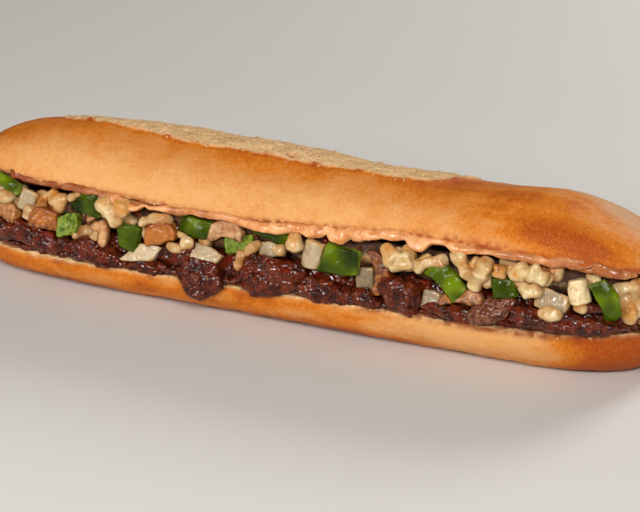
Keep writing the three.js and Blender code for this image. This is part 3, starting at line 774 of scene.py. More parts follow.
def mushroom_finish(colours):
    """Fried mushroom: cream flesh, browned skin round the cap and dark fine gills."""
    f = Finish("Fried mushroom", specular=0.5, rough=0.24, glow=(0.15, (1.0, 0.5, 0.25), 1.2))
    flesh = f.mix(f.mottle(2.6, 0.35, 0.7), colours.mushroom, tint(196, 138, 86))
    flesh = f.mix(f.painted("shade"), flesh, tint(190, 108, 22))
    flesh = f.mix(f.painted("cream"), flesh, tint(238, 212, 164))
    flesh = f.mix(f.times(f.painted("dark"), f.mottle(3.5, 0.3, 0.6, 3)), flesh, tint(92, 48, 26))
    browned = f.times(f.mottle(3.0, 0.5, 0.66, 6), 0.5)
    tone = f.mix(f.math("MAXIMUM", f.painted("skin"), browned), flesh, colours.mushroom_skin)
    tone = f.mix(f.times(f.mottle(1.2, 0.56, 0.72, 8), 0.4), tone, tint(120, 62, 24))
    f.use(Base_Color=f.mix(f.painted("gills"), tone, tint(64, 30, 16)))
    f.relief((f.mottle(1.8, 0.25, 0.75, 9, 1.0), 0.2), (f.mottle(0.7, 0.3, 0.7, 10), 0.04))
    return f.material


def floor_finish(colours):
    f = Finish("Pale floor", rough=0.7)
    tone = f.mix(f.times(f.mottle(90, 0.3, 0.7), 0.3), colours.floor, tint(218, 216, 212))
    f.use(Base_Color=tone)
    return f.material


MATERIALS = {}
TREES = {}


def prepare(context):
    """Makes the shared groups, trees and materials once, and gives the sizes."""
    if not MATERIALS:
        Finish.groups.update(mottle=mottle_group(), pores=pore_group())
        TREES.update(surface=cooked_surface_tree(), scatter=scatter_tree())
        for name, finish in {
            "crust": crust_finish, "sauce": sauce_finish, "cheese": cheese_finish, "steak": steak_finish,
            "pepper": pepper_finish, "onion": onion_finish, "mushroom": mushroom_finish,
            "floor": floor_finish,
        }.items():
            MATERIALS[name] = finish(context.scene.sandwich_colours)
    return context.scene.sandwich_sizes


# The roll


def refine(mesh, chosen):
    """Divides the faces whose corners are all among the chosen points."""
    tidy = bmesh.new()
    tidy.from_mesh(mesh)
    tidy.verts.ensure_lookup_table()
    faces = [face for face in tidy.faces if all(chosen[vert.index] for vert in face.verts)]
    edges = {edge for face in faces for edge in face.edges}
    bmesh.ops.subdivide_edges(tidy, edges=list(edges), cuts=1, use_grid_fill=True, smooth=0)
    tidy.to_mesh(mesh)
    tidy.free()
    mesh.update()


def roll_places(points):
    """Where each point lies on the roll: distances and masks that shape and colour both use."""
    x = points[:, 0]
    lid_y, lid_z = in_closed_lid(points)
    wobble = 1.1 * rough_noise(points * (1, 0, 0), 9, 2)
    front, back = burst_front(x) + wobble, burst_back(x) - wobble
    on_lid = (lid_z > -0.9 + np.minimum(edge_wave(x), 0)) & (points[:, 2] > cut_height(x) + 1.0)
    dome = lid_z / np.maximum(lid_height(x), 1)
    inside = np.minimum(lid_y - front, back - lid_y)
    return {
        "x": x, "lid_y": lid_y, "lid_z": lid_z, "on_lid": on_lid, "dome": dome,
        "burst": np.where(on_lid & (dome > 0.5), inside, -30.0), "front": front, "back": back,
    }


def near_edges(points, p):
    """Distance of each point from the front cut edge of the lid, and of the base."""
    w = half_width(p["x"])
    lid = np.hypot(p["lid_y"] + w, p["lid_z"] - edge_wave(p["x"]))
    base = np.hypot(points[:, 1] + w, points[:, 2] - cut_height(p["x"]))
    return lid, base


def crag_field(p):
    """How much each point belongs to a crag, from 0 to 1."""
    total = np.zeros(len(p["x"]))
    for x, lip in CRAGS:
        along = (p["x"] - x) / CRAG_LENGTH
        across = (p["lid_y"] - p[lip]) / CRAG_WIDTH
        total = np.maximum(total, np.exp(-(along ** 2 + across ** 2)))
    return np.where(p["on_lid"] & (p["dome"] > 0.4), total, 0)


TIP_REACH = 0.997 * HALF_LENGTH  # where the last ring stands, short of the tip
ROLL_STATIONS = 220
HINGE_STATIONS = 60
FINE_BURST = -2.5  # how far outside the burst the faces are still fine
FINE_EDGE = 4.5


def build_roll(sizes):
    along = stations(TIP_REACH, ROLL_STATIONS)
    lofts = [[lid_ring(x) for x in along], [base_ring(x) for x in along]]
    lofts.append([hinge_ring(x) for x in stations(HINGE_REACH, HINGE_STATIONS)])
    roll = new_object("baked_roll", mesh_of_lofts("baked_roll", lofts))
    remeshed(roll, sizes.crust_mesh, 3)
    mesh = roll.data
    points = own_points(mesh)
    p = roll_places(points)
    lid_edge, base_edge = near_edges(points, p)
    refine(mesh, (p["burst"] > FINE_BURST) | (lid_edge < FINE_EDGE) | (base_edge < FINE_EDGE))

    points = own_points(mesh)
    p = roll_places(points)
    lid_edge, base_edge = near_edges(points, p)
    burst = smooth_step(p["burst"], -0.6, 0.9)
    lip = falloff(p["burst"] + 0.5, 1.1)
    crags = crag_field(p) * (0.7 + 0.5 * rough_noise(points, 1.6, 9))
    grip = 1 - burst
    rise = sizes.crust_dent / MM * rough_noise(points, 14, 1) * grip
    rise += 0.1 * rough_noise(points, 3.2, 4) * grip
    rise += burst * (0.9 + 0.35 * rough_noise(points, 6, 5) + 0.22 * rough_noise(points, 1.8, 6))
    rise += 0.5 * lip * (0.6 + 0.6 * rough_noise(points, 3, 7)) + sizes.crag_height / MM * crags
    pores = np.maximum(rough_noise(points, 1.7, 12, 2) - 0.45, 0)
    rise -= 1.5 * pores * burst * smooth_step(p["back"] - p["lid_y"], 6, 22)
    along, across = (p["x"] - HOLE[0]) / HOLE_LENGTH, (p["lid_y"] - HOLE[1]) / HOLE_WIDTH
    hole = np.exp(-(along ** 2 + across ** 2))
    rise -= 2.4 * hole * burst
    ragged = falloff(lid_edge, 1.8) * p["on_lid"] + falloff(base_edge, 1.6)
    rise += 0.55 * ragged * rough_noise(points, 2.2, 15)
    creases = smooth_step(p["x"], 70, 100) * p["on_lid"] * grip
    rise -= 0.25 * creases * np.maximum(np.sin(p["dome"] * 34 + 0.5 * rough_noise(points, 30, 3)), 0) ** 6
    rise = np.where(points[:, 2] < 0.5, 0, rise)
    normals = read_vectors(mesh.vertex_normals, "vector")
    paint_roll(mesh, points, p, normals, burst, lip, crags, hole, lid_edge, base_edge)
    move_along_normals(mesh, rise)
    low = read_vectors(mesh.vertices, "co")
    low[:, 2] = np.maximum(low[:, 2], 0)
    mesh.vertices.foreach_set("co", low.ravel())
    mesh.update()
    return roll


def paint_roll(mesh, points, p, normals, burst, lip, crags, hole, lid_edge, base_edge):
    x, z = p["x"], points[:, 2]
    on_lid = p["on_lid"]
    lid_down = -(normals[:, 1] * math.sin(OPEN_ANGLE) + normals[:, 2] * math.cos(OPEN_ANGLE))
    lid_cut = on_lid & (lid_down > 0.6) & (p["lid_z"] < 3.5)
    base_cut = ~on_lid & (normals[:, 2] > 0.6) & (z > cut_height(x) - 1.6)
    crumb = np.maximum(burst * (1 - np.clip(crags, 0, 1)), (lid_cut | base_cut).astype(float))
    rim = falloff(base_edge, 1.3) * (0.6 + 0.5 * rough_noise(points, 3, 31))
    paint(mesh, crumb=np.clip(np.maximum(crumb, rim), 0, 1))

    upper = smooth_step(p["dome"], 0.3, 1.0)
    lid_bake = 0.02 + (0.66 + 0.1 * x / HALF_LENGTH) * upper
    lid_bake += 0.15 * rough_noise(points, 24, 33) * (0.35 + upper) + 0.08 * smooth_step(x, -80, 60)
    lid_bake -= 0.5 * upper * smooth_step(x, 60, 115)
    streaks = rough_noise(points * (0.12, 1, 1), 4, 49)
    lid_bake += 0.16 * streaks * smooth_step(x, 30, 80)
    right = smooth_step(x + 9 * rough_noise(points, 16, 45), 68, 124)
    darkest = 0.45 - 0.2 * smooth_step(x, 85, 135)
    lid_bake += 0.06 + 0.12 * smooth_step(x, 10, 70)
    patch = 1.15 * right * falloff(p["dome"] - darkest, 0.36)
    lid_bake += patch * (1 - 0.8 * smooth_step(x, 120, 140))
    lid_bake += 0.25 * smooth_step(-x, 118, 148) + 0.25 * smooth_step(x, 138, 149)
    lid_bake += 0.45 * smooth_step(x, 60, 100) * smooth_step(p["lid_y"], 4, 22)
    flour_line = -3 - 13 * smooth_step(x, 84, 138)
    flour = smooth_step(p["lid_y"], flour_line - 6, flour_line + 6) * smooth_step(x, 50, 92) * on_lid
    flour *= (1 - smooth_step(p["lid_y"], 4, 20)) * (1 - smooth_step(x, 132, 147))
    paint(mesh, flour=np.clip(flour * (0.72 + 0.45 * streaks), 0, 0.9))
    # Painted light and shade on the base: it is painted darker towards the sole, as shade, and paler across
    # x 50 to 112, as a pool of light; it is also darker at the far left and browner at the right tip
    depth = np.clip((cut_height(x) - z) / cut_height(x), 0, 1)
    base_bake_and_light = 0.6 + 0.42 * smooth_step(depth, 0.45, 0.95) - 0.62 * plateau(x, 50, 112, 44)
    base_bake_and_light += 1.0 * smooth_step(x, 104, 134) + 0.16 * smooth_step(-x, 60, 100)
    base_bake_and_light += 0.3 * rough_noise(points * (0.35, 1, 1), 6, 35) * (1 - smooth_step(x, 40, 80) * 0.5)
    bake = np.where(on_lid, lid_bake, base_bake_and_light) + 0.5 * np.clip(crags, 0, 1)
    bake += 0.35 * lip * (p["burst"] < 0) * (0.5 + 0.5 * rough_noise(points, 4, 36))
    paint(mesh, bake=np.clip(bake, 0, 1.3))

    line = falloff(lid_edge, 1.5 + 1.3 * smooth_step(x, 30, 80))
    line *= 0.7 + 0.8 * rough_noise(points, 1.8, 38)
    # The soaked edge is real; the burst's largest pore is painted with the same dark colour as its shade
    paint(mesh, soak=np.clip(line * on_lid + 0.4 * np.clip(crags, 0, 1) + 0.9 * hole * burst, 0, 0.9))
    juice = falloff(base_edge, 2.2) * smooth_step(rough_noise(points, 9, 41), 0.05, 0.6)
    run_down = falloff(base_edge - 1.2, 1.7) * plateau(x, 62, 128, 16)
    juice = np.maximum(juice, run_down * (0.75 + 0.5 * rough_noise(points, 2.5, 47)))
    floor = base_cut * smooth_step(rough_noise(points, 7, 43) + 0.4, 0, 0.5) * (base_edge > 1.0)
    paint(mesh, stain=np.clip(0.8 * juice + 0.7 * floor, 0, 0.85) * ~on_lid)

    crust = (1 - np.clip(crumb, 0, 1)) * (z > 4)
    edges = falloff(base_edge, 1.6) + falloff(lid_edge, 1.2) * on_lid
    paint(mesh, blisters=crust * on_lid, crumbs=edges + 0.5 * lip)


# Cheese


def steak_top(x, y):
    front = cut_height(x) + STEAK_DEPTH + 0.7 * np.sin(x / 6) * np.cos(y / 7)
    back = smooth_step(y, -6, 21)
    return front * (1 - back) + (cut_height(x) + STEAK_BACK_DEPTH) * back


def filling_ceiling(x, y):
    lid = cut_height(x) + HINGE_RISE + (HINGE_Y - y) * math.tan(OPEN_ANGLE)
    return lid - SAUCE_DEPTH / math.cos(OPEN_ANGLE)


def cheese_front(x):
    """How far forward the mass of cheese reaches."""
    return -half_width(x) + 7.0 + 1.1 * np.sin(x / 6.3 + 1)


# Where melted cheese shows, by the photograph's pixel: across, down, length and thickness in millimetres,
# turn in degrees from level, and how much it is toasted
CHEESE_SPOTS = (
    (5, 196, 9, 5.4, 10, 0.0), (20, 196, 10, 3.6, 65, 0.0), (30, 213, 6, 4.4, 60, 0.0),
    (43, 200, 8, 5.4, 80, 0.5), (55, 198, 8, 5.0, -60, 0.6), (62, 203, 8, 5.2, 70, 0.3),
    (75, 196, 6, 2.6, 25, 0.0), (106, 207, 8, 5.6, -55, 0.2), (114, 216, 9, 6.4, -70, 0.1),
    (122, 208, 8, 6.0, 70, 0.5), (84, 232, 10, 4.6, 12, 0.0), (95, 236, 4, 3.4, 70, 0.0),
    (150, 220, 8, 4.2, 8, 0.1), (163, 219, 8, 4.0, -12, 0.3), (174, 248, 6.4, 3.0, -24, 0.0),
    (187, 243, 5.4, 5.0, -10, 0.0), (206, 240, 5.4, 5.2, 35, 0.0), (253, 248, 8, 3.9, 36, 0.15),
    (240, 260, 8, 3.9, 72, 0.0), (279, 250, 5.6, 4.2, -20, 0.0), (294, 243, 7.4, 5.4, 85, 0.4),
    (391, 256, 10, 6.6, -55, 0.45), (401, 262, 10, 7.0, 10, 0.0), (409, 254, 8, 5.0, 80, 0.3),
    (422, 265, 7, 4.6, 20, 0.0), (437, 262, 9, 4.6, 5, 0.2), (459, 258, 8, 4.8, -50, 0.1),
    (466, 270, 8, 4.6, -65, 0.2), (485, 266, 8, 6.0, 55, 0.3), (477, 280, 8, 6.0, 65, 0.15),
    (500, 272, 5.6, 5.0, 80, 0.7), (508, 263, 7, 3.8, -15, 0.1), (519, 272, 8, 6.0, 25, 0.25),
    (522, 279, 7, 4.4, 10, 0.0), (538, 276, 8, 6.4, -30, 0.1), (552, 271, 9, 6.0, -20, 0.8),
    (531, 291, 8, 5.6, 12, 0.0), (525, 287, 6, 4.4, 70, 0.0), (550, 314, 9, 4.6, -3, 0.05),
    (593, 280, 6, 4.8, -60, 0.1), (580, 308, 5, 3.4, -10, 0.4), (621, 290, 8, 5.0, 20, 0.1),
    (622, 299, 9, 5.4, -70, 0.1), (629, 313, 9, 5.6, -85, 0.6), (636, 291, 9, 5.6, 75, 0.1),
    (638, 307, 8, 5.0, 80, 0.2), (642, 320, 7, 4.6, 60, 0.2), (650, 300, 9, 5.0, 20, 0.2),
)

PHOTO_SIZE = (640, 512)
LOOK_FROM = 20 * MM  # in front of a strand, where the search for its surface starts
DRAPE_LIMIT = 2.2 * MM
SHRED_SEED = 11
SHRED_MESH = 0.4 * MM
STRAND_SIDES = 16
STRAND_RINGS = 17
STRAND_SQUARENESS = 0.6
STRAND_FLATNESS = 0.82


def view_axes():
    """The photograph's own axes: towards the eye, to the right and up."""
    level = math.cos(VIEW_ELEVATION)
    across, away = math.cos(VIEW_AZIMUTH), math.sin(VIEW_AZIMUTH)
    back = Vector((away * level, -across * level, math.sin(VIEW_ELEVATION)))
    right = Vector((across, away, 0))
    return back, right, back.cross(right)


def surfaces_of(meshes):
    """One set of surfaces that lines of sight can meet."""
    points, faces = [], []
    for mesh in meshes:
        start = len(points)
        points += [vertex.co.copy() for vertex in mesh.vertices]
        faces += [[start + i for i in face.vertices] for face in mesh.polygons]
    return BVHTree.FromPolygons(points, faces)


def seen_at(surfaces, across, down):
    """The place that the photograph shows at a pixel."""
    back, right, up = view_axes()
    focal = VIEW_LENS / SENSOR_WIDTH * PHOTO_SIZE[0]
    sight = (across - PHOTO_SIZE[0] / 2) / focal * right - (down - PHOTO_SIZE[1] / 2) / focal * up - back
    return surfaces.ray_cast(VIEW_TARGET + back * VIEW_DISTANCE, sight)[0]


def draped_line(surfaces, centre, turn, length, lift):
    """Places along a strand that lies on the surfaces, in metres."""
    back, right, up = view_axes()
    direction = math.cos(turn) * right + math.sin(turn) * up
    line = [centre + direction * s * length / 2 for s in np.linspace(-1, 1, 9)]
    depths = []
    for place in line:
        met = surfaces.ray_cast(place + back * LOOK_FROM, -back)[0]
        depth = (met - place).dot(back) if met else 0.0
        depths.append(min(max(depth, -DRAPE_LIMIT), DRAPE_LIMIT))
    for _ in range(3):
        near = [depths[max(i - 1, 0):i + 2] for i in range(len(depths))]
        depths = [sum(values) / len(values) for values in near]
    return [place + back * (depth + lift) for place, depth in zip(line, depths)]


def strand_rings(line, radius, phase):
    """A round-ended strand along a line of places in metres, as rings in the roll's millimetres."""
    line = np.array([tuple(place) for place in line]) / MM - (0, SHIFT_Y, 0)
    ends = line[-1] - line[0]
    side = np.cross(ends, (0.1, -0.8, 0.5))
    side /= np.linalg.norm(side)
    lift = np.cross(side, ends / np.linalg.norm(ends))
    rings = []
    turn = np.linspace(0, 2 * math.pi, STRAND_SIDES + 1)[:-1] + 0.5 * phase
    across = signed_power(np.cos(turn), STRAND_SQUARENESS)
    out = STRAND_FLATNESS * signed_power(np.sin(turn), STRAND_SQUARENESS)
    for s in np.sin(np.linspace(-math.pi / 2, math.pi / 2, STRAND_RINGS)):
        at = (s + 1) / 2 * (len(line) - 1)
        middle = np.array([np.interp(at, range(len(line)), line[:, k]) for k in range(3)])
        r = radius * max(1 - abs(s) ** 5, 0.01) ** 0.5 * (1 + 0.16 * math.sin(3.4 * s + phase))
        rings.append(middle + r * (np.outer(across, side) + np.outer(out, lift)))
    return rings


def build_shreds(surfaces):
    """Shreds of cheese that melted into round fingers, over the pieces that they fell on."""
    draw = np.random.default_rng(SHRED_SEED)
    lofts, toasted = [], []
    for across, down, length, thickness, turn, toast in CHEESE_SPOTS:
        centre = seen_at(surfaces, across, down)
        line = draped_line(surfaces, centre, math.radians(turn), length * MM, 0.2 * thickness * MM)
        lofts.append(strand_rings(line, thickness / 2, draw.uniform(0, 6)))
        spot = line[len(line) // 2 + int(draw.integers(-2, 3))]
        toasted.append((np.array(spot), thickness * MM, toast))
    shreds = new_object("cheese_shreds", mesh_of_lofts("cheese_shreds", lofts))
    remeshed(shreds, SHRED_MESH, 6)
    points = read_vectors(shreds.data.vertices, "co")
    brown = np.zeros(len(points))
    for place, reach, toast in toasted:
        away = np.linalg.norm(points - place - (0, -0.3 * reach, 0.5 * reach), axis=1)
        brown = np.maximum(brown, 1.8 * toast * falloff(away, 0.8 * reach))
    # Painted shade where the strands lie close to the filling: the nearer, the browner
    gaps = np.array([surfaces.find_nearest(Vector(point))[3] for point in points]) / MM
    paint(shreds.data, toast=brown, juice=falloff(gaps, 1.9))
    return shreds


# Sauce


# Where the sauce hangs down under the lid: place along the roll, half-width and drop
SAUCE_RUNS = (
    (-74, 4, 1.4), (-64, 5, 2.6), (-52, 5, 1.2), (-6, 9, 2.2), (14, 5, 2.6), (24, 4, 3.8), (36, 6, 1.6),
    (45, 4, 1.0), (56, 4, 3.4), (74, 6, 1.6), (126, 10, 0.8),
)


def drape_sauce(mesh):
    """Presses the sauce up against the lid, and lets its front edge hang in small runs."""
    points = own_points(mesh)
    x = points[:, 0]
    lid_y, lid_z = in_closed_lid(points)
    side = np.clip(-lid_y / half_width(x), 0, 1) ** (1 / LID_SQUARENESS)
    under = edge_wave(x) * side ** 3
    front = smooth_step(-lid_y, half_width(x) - 7, half_width(x) - 1)
    low = smooth_step(under - lid_z - 0.6 * plateau(x, 110, 128, 10), 0.5, 1.4)
    runs = 0.8 * np.maximum(rough_noise(points * (1, 0.3, 0), 7, 51, 2) + 0.1, 0)
    runs -= smooth_step(-x, 78, 90)
    runs -= 0.6 * plateau(x, -48, -16, 6)
    for place, reach, drop in SAUCE_RUNS:
        runs = np.maximum(runs, drop * np.exp(-((x - place) / reach) ** 4))
    under_lid = under + 0.5 + front * (1.1 + 1.6 * plateau(x, 98, 127, 10) + 1.2 * smooth_step(-x, 96, 120))
    runs = runs + 0.35 * rough_noise(points * (1, 0, 0), 3.5, 57, 2)
    lid_z = low * (lid_z + 0.6 - runs * front) + (1 - low) * np.maximum(lid_z + 0.8, under_lid)
    lid_y = lid_y - (0.15 + 0.16 * runs) * front - 0.3 * front * rough_noise(points, 6, 53, 2)
    moved = on_open_lid(x, lid_y, lid_z) + (0, SHIFT_Y, 0)
    mesh.vertices.foreach_set("co", (moved * MM).ravel())
    mesh.update()
    thick = smooth_step(x, -84, -66) * (1 - 0.35 * plateau(x, -48, -16, 8))
    thick *= 1 - 0.4 * smooth_step(x, 58, 96) - 0.3 * smooth_step(x, 108, 130)
    paint(mesh, thin=np.clip(1.0 - 1.1 * thick + 0.3 * rough_noise(points, 6, 55), 0, 0.95))


# Scraps of steak

CUT_EDGE_ROW = (-141, 141, 2.3)  # where a row of scraps starts and ends, and its spacing
INNER_ROW = (-136, 140, 2.6)
SCRAP_SEED = 5
SCRAP_MESH = 0.5 * MM
LUMP_SIDES = 8
LUMP_RINGS = 7
LUMP_END = 0.12  # how near the first and last rings come to a lump's tips, as an angle


def lump_rings(centre, radii, turn, tilt):
    """A round lump: rings along its own X, turned about Z and tilted."""
    c, s = math.cos(turn), math.sin(turn)
    ct, st = math.cos(tilt), math.sin(tilt)
    axes = np.array(((c * ct, s * ct, st), (-s, c, 0), (-c * st, -s * st, ct)))
    turn = np.linspace(0, 2 * math.pi, LUMP_SIDES + 1)[:-1]
    rings = []
    for a in np.linspace(LUMP_END, math.pi - LUMP_END, LUMP_RINGS):
        ring = [(math.cos(a), math.sin(a) * math.cos(b), math.sin(a) * math.sin(b)) for b in turn]
        rings.append(np.array(ring) * radii @ axes + centre)
    return rings


def build_scraps():
    """Torn scraps of steak: a wet row along the cut edge of the base, and more between the vegetables."""
    draw = np.random.default_rng(SCRAP_SEED)
    lofts = []
    for x in np.arange(*CUT_EDGE_ROW):
        x = float(x + draw.uniform(-1, 1))
        y = -float(half_width(x)) + 2.9 + draw.uniform(-1.3, 1.4)
        z = float(cut_height(x)) + draw.uniform(0.5, 2.0)
        radii = (draw.uniform(2.0, 4.2), draw.uniform(1.6, 2.6), draw.uniform(1.1, 1.8))
        lofts.append(lump_rings((x, y, z), radii, draw.uniform(-0.5, 0.5), draw.uniform(-0.3, 0.3)))
    for x in np.arange(*INNER_ROW):
        x = float(x + draw.uniform(-1.2, 1.2))
        y = float(cheese_front(x)) + draw.uniform(2.0, 3.8)
        low, high = float(steak_top(x, y)) - 1.0, float(filling_ceiling(x, y)) - 2.5
        z = low + (high - low) * draw.uniform(0, 1) ** 0.9
        radii = (draw.uniform(1.4, 2.8), draw.uniform(1.2, 2.0), draw.uniform(1.2, 2.2))
        lofts.append(lump_rings((x, y, z), radii, draw.uniform(-0.6, 0.6), draw.uniform(-1.2, 1.2)))
    scraps = new_object("steak_scraps", mesh_of_lofts("steak_scraps", lofts))
    remeshed(scraps, SCRAP_MESH, 3)
    return scraps


# Operators


class SANDWICH_OT_roll(bpy.types.Operator):
    """Makes the roll with its crust, its burst top and its cut faces"""
    bl_idname = "sandwich.roll"
    bl_label = "Roll"

    def execute(self, context):
        roll = build_roll(prepare(context))
        blisters = scattered(
            roll, "crust_blisters", "blisters", spread=30000.0, radius=0.3 * MM, flatness=0.3, seed=3)
        crumbs = scattered(
            roll, "loose_crumbs", "crumbs", spread=60000.0, radius=0.65 * MM, flatness=0.8, seed=8)
        paint(crumbs.data, crumb=0.55, bake=0.55, soak=0.0, stain=0.0, flour=0.0)
        dress(roll, "crust", "roll")
        dress(blisters, "crust")
        dress(crumbs, "crust")
        return {"FINISHED"}


class SANDWICH_OT_sauce(bpy.types.Operator):
    """Makes the sauce under the lid, with its runs"""
    bl_idname = "sandwich.sauce"
    bl_label = "Sauce"

    def execute(self, context):
        sizes = prepare(context)
        sauce = copied("sauce", "spread_sauce")
        remeshed(sauce, sizes.filling_mesh * 0.8, 3)
        drape_sauce(sauce.data)
        cook(sauce, "sauce", 2, lump=(6 * MM, 0.5 * MM), grain=(2.2 * MM, 0.06 * MM), swell=0.2 * MM)
        dress(sauce, "sauce", "sauce")
        return {"FINISHED"}


class SANDWICH_OT_cheese(bpy.types.Operator):
    """Makes the melted mass of cheese and the shreds that show on its front"""
    bl_idname = "sandwich.cheese"
    bl_label = "Cheese"

    def execute(self, context):
        sizes = prepare(context)
        cheese = copied("cheese", "melted_cheese")
        remeshed(cheese, sizes.filling_mesh * 0.9, 4)
        points = own_points(cheese.data)
        cook(cheese, "cheese", 4, lump=(4 * MM, sizes.cheese_lump), grain=(3 * MM, 0.5 * MM))
        # Painted shade: the mass is marked by how far it lies back from its front, and the shader paints it
        # dark there
        back = points[:, 1] - cheese_front(points[:, 0])
        painted_shade = smooth_step(back + 1.1 * rough_noise(points, 5, 3), -0.8, 1.4)
        paint(cheese.data, depth=np.clip(painted_shade, 0, 0.97), toast=0.3)
        dress(cheese, "cheese", "cheese")

        filling = [node for name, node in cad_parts.items() if name not in ("roll", "sauce")]
        shreds = build_shreds(surfaces_of(node.data for node in filling))
        cook(shreds, "cheese", 7, lump=(4 * MM, 0.5 * MM), grain=(2 * MM, 0.08 * MM), swell=0.2 * MM,
             warp=(7 * MM, 2.2 * MM))
        # The shreds carry none of the painted shade of the mass
        paint(shreds.data, depth=0.0)
        dress(shreds, "cheese")
        return {"FINISHED"}


# How dry and grey a slice is, where the glaze has left it
DRY_STEAKS = {12: 0.75, 14: 0.15}


class SANDWICH_OT_steak(bpy.types.Operator):
    """Makes the slices of steak, the bed of steak behind them and the scraps between"""
    bl_idname = "sandwich.steak"
    bl_label = "Steak"

    def execute(self, context):
        sizes = prepare(context)
        bed = copied("steak_bed", "steak_filling")
        remeshed(bed, sizes.filling_mesh, 3)
        cook(bed, "steak", 31, lump=(5 * MM, 1.6 * MM), grain=(2 * MM, 0.9 * MM))
        paint(bed.data, dry=0.0)
        dress(bed, "steak", "steak_bed")
        scraps = build_scraps()
        cook(scraps, "steak", 71, lump=(3 * MM, 0.9 * MM), grain=(1.4 * MM, 0.5 * MM),
             warp=(5 * MM, 1.2 * MM))
        paint(scraps.data, dry=0.0)
        dress(scraps, "steak")
        for i in range(1, STEAK_COUNT + 1):
            piece = copied(f"steak_{i}", f"steak_slice_{i}")
            remeshed(piece, sizes.piece_mesh, 4)
            cook(piece, "steak", 3 * i, lump=(4.5 * MM, sizes.steak_lump),
                 grain=(1.5 * MM, sizes.steak_grain), swell=0.15 * MM, warp=(7 * MM, 2.4 * MM))
            paint(piece.data, dry=DRY_STEAKS.get(i, 0.0))
            dress(piece, "steak", f"steak_{i}")
        return {"FINISHED"}


# Brightness of each piece of pepper's skin, and the pieces whose inner side shows
PEPPER_SHADES = (0.8, 0.0, 0.6, 0.85, 0.35, 0.45, 0.55, 0.18, 1.0, 0.35, 0.9, 0.8)
PEPPER_INNER_SIDES = (3, 6)
# Brightness of each piece of onion
ONION_SHADES = (0.5, 0.8, 0.85, 0.7, 0.55, 0.65, 0.15, 0.3, 0.45, 0.7)
# For each cut of mushroom: how much skin it shows, how golden it is and how browned
MUSHROOM_LOOKS = (
    (0.8, 0.5, 0.3), (0.9, 0.95, 0.5), (1.0, 0.5, 0.95), (0.5, 0.1, 0.1),
    (0.7, 0.9, 0.15), (0.6, 0.05, 0.3), (1.0, 0.8, 0.9), (0.6, 0.45, 0.55),
)
# What the number of each kind's piece is added to, for its seed
ONION_SEED, MUSHROOM_SEED, STEM_SEED = 20, 40, 60


def cut_piece(sizes, slot, node, name, seed, lump, rounds):
    """A cooked cut of vegetable, with each point's place along its own axes."""
    piece = copied(node, name)
    remeshed(piece, sizes.piece_mesh, rounds)
    cook(piece, slot, seed, lump=(4 * MM, lump), grain=(1.2 * MM, 0.08 * MM), swell=0.3 * MM,
         warp=(7 * MM, 2.6 * MM))
    return piece, lay_out_axes(piece.data)


class SANDWICH_OT_vegetables(bpy.types.Operator):
    """Makes the cut pepper, onion and mushroom"""
    bl_idname = "sandwich.vegetables"
    bl_label = "Vegetables"

    def execute(self, context):
        sizes = prepare(context)
        for i, shade in enumerate(PEPPER_SHADES, 1):
            piece, (thin, _, _) = cut_piece(
                sizes, "pepper", f"pepper_{i}", f"pepper_dice_{i}", i, 0.5 * MM, 9)
            side = -thin if i in PEPPER_INNER_SIDES else thin
            paint(piece.data, flesh=1 - smooth_step(side, 0.1, 0.45), shade=shade)
            dress(piece, "pepper", f"pepper_{i}")
        for i, shade in enumerate(ONION_SHADES, 1):
            piece, (_, middle, long) = cut_piece(
                sizes, "onion", f"onion_{i}", f"onion_dice_{i}", ONION_SEED + i, 0.7 * MM, 8)
            paint(piece.data, shade=shade, rim=smooth_step(np.hypot(middle, long), 0.75, 1.05))
            dress(piece, "onion", f"onion_{i}")
        for i, (skin, shade, brown) in enumerate(MUSHROOM_LOOKS, 1):
            piece, (_, middle, long) = cut_piece(
                sizes, "mushroom", f"mushroom_{i}", f"mushroom_cut_{i}", MUSHROOM_SEED + i, 0.9 * MM, 9)
            cap = smooth_step(middle, 0.45, 0.8) + 0.5 * smooth_step(np.hypot(middle, long), 0.85, 1.1)
            lamella = 0.55 + 0.45 * np.sin(16 * long + 2 * middle)
            gills = 0.75 * lamella * smooth_step(-middle, 0.3, 0.75)
            skin = np.clip(skin * cap, 0, 1)
            paint(piece.data, skin=skin, shade=shade, dark=brown, cream=0.0, gills=gills)
            dress(piece, "mushroom", f"mushroom_{i}")
        stem, _ = cut_piece(
            sizes, "mushroom", "mushroom_stem", "mushroom_stem_cut", STEM_SEED, 0.3 * MM, 4)
        height = own_points(stem.data)[:, 2]
        skin = 1 - smooth_step(height, height.min() + 0.5, height.min() + 2.5)
        paint(stem.data, skin=skin, gills=0.0, shade=0.0, dark=0.0, cream=1.0)
        dress(stem, "mushroom", "mushroom_stem")
        return {"FINISHED"}


# Each light: its place, its width, its power and its colour
LIGHTS = {
    "key_light": ((0.5, -0.88, 0.7), 0.3, 8.0, (1.0, 0.97, 0.93)),
    "fill_light": ((-0.9, -0.6, 0.5), 0.3, 1.8, (1.0, 0.98, 0.95)),
    "glint_light": ((-0.25, -0.9, 0.5), 0.22, 4.4, (1.0, 0.98, 0.95)),
    "rim_light": ((0.4, 0.9, 0.6), 0.4, 7.2, (1.0, 0.98, 0.95)),
}
LIGHTS_AIM = Vector((0, 0, 0.03))
STUDIO_COLOUR = (1.0, 0.93, 0.86, 1)
STUDIO_STRENGTH = 0.1


def aim(thing, place, target):
    thing.location = place
    thing.rotation_euler = (target - place).to_track_quat("-Z", "Y").to_euler()


def soft_light(name, place, size, power, tone):
    light = bpy.data.lights.new(name, "AREA")
    light.shape = "DISK"
    light.size = size
    light.energy = power
    light.color = tone
    thing = new_object(name, light)
    aim(thing, Vector(place), LIGHTS_AIM)


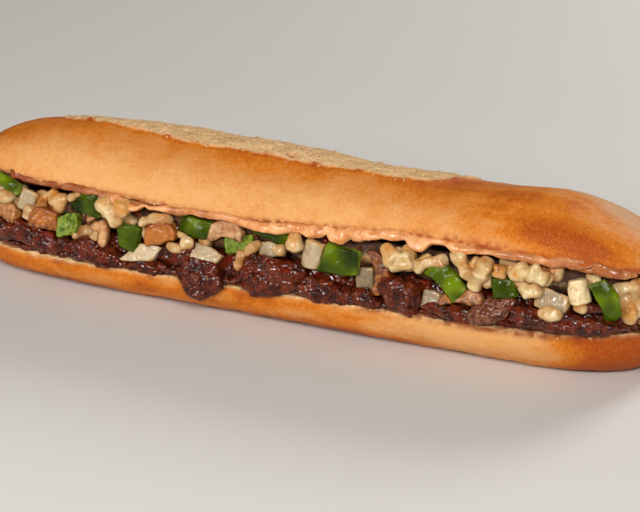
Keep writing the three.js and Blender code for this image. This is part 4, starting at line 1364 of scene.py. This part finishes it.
class SANDWICH_OT_stage(bpy.types.Operator):
    """Makes the floor, the lights and the camera"""
    bl_idname = "sandwich.stage"
    bl_label = "Stage"

    def execute(self, context):
        half = prepare(context).floor_width / 2
        corners = [(-half, -half, 0), (half, -half, 0), (half, half, 0), (-half, half, 0)]
        mesh = bpy.data.meshes.new("pale_floor")
        mesh.from_pydata(corners, [], [(0, 1, 2, 3)])
        mesh.materials.append(MATERIALS["floor"])
        floor = new_object("pale_floor", mesh)

        camera = bpy.data.cameras.new("view")
        camera.lens = VIEW_LENS
        camera.sensor_width = SENSOR_WIDTH
        eye = new_object("view", camera)
        aim(eye, VIEW_TARGET + view_axes()[0] * VIEW_DISTANCE, VIEW_TARGET)
        bpy.context.scene.camera = eye

        for name, settings in LIGHTS.items():
            soft_light(name, *settings)
        world = bpy.data.worlds.new("studio")
        world.use_nodes = True
        backdrop = world.node_tree.nodes["Background"]
        backdrop.inputs["Color"].default_value = STUDIO_COLOUR
        backdrop.inputs["Strength"].default_value = STUDIO_STRENGTH
        bpy.context.scene.world = world
        bpy.context.scene.view_settings.view_transform = "Standard"
        return {"FINISHED"}


OPERATORS = (
    SANDWICH_OT_roll, SANDWICH_OT_sauce, SANDWICH_OT_cheese, SANDWICH_OT_steak, SANDWICH_OT_vegetables,
    SANDWICH_OT_stage,
)


class SANDWICH_PT_panel(bpy.types.Panel):
    """The sandwich's settings and pieces"""
    bl_label = "Submarine Sandwich"
    bl_idname = "SANDWICH_PT_panel"
    bl_space_type = "VIEW_3D"
    bl_region_type = "UI"
    bl_category = "Sandwich"

    def draw(self, context):
        for settings in (context.scene.sandwich_sizes, context.scene.sandwich_colours):
            for key in settings.bl_rna.properties.keys():
                if key not in ("rna_type", "name"):
                    self.layout.prop(settings, key)
        for operator in OPERATORS:
            self.layout.operator(operator.bl_idname)


CLASSES = (SandwichSizes, SandwichColours, *OPERATORS, SANDWICH_PT_panel)


def register():
    for cls in CLASSES:
        bpy.utils.register_class(cls)
    bpy.types.Scene.sandwich_sizes = bpy.props.PointerProperty(type=SandwichSizes)
    bpy.types.Scene.sandwich_colours = bpy.props.PointerProperty(type=SandwichColours)


def unregister():
    del bpy.types.Scene.sandwich_colours
    del bpy.types.Scene.sandwich_sizes
    for cls in reversed(CLASSES):
        bpy.utils.unregister_class(cls)


def main():
    register()
    for make in (
        bpy.ops.sandwich.stage, bpy.ops.sandwich.roll, bpy.ops.sandwich.sauce, bpy.ops.sandwich.cheese,
        bpy.ops.sandwich.steak, bpy.ops.sandwich.vegetables,
    ):
        make()


if __name__ == "__main__":
    main()
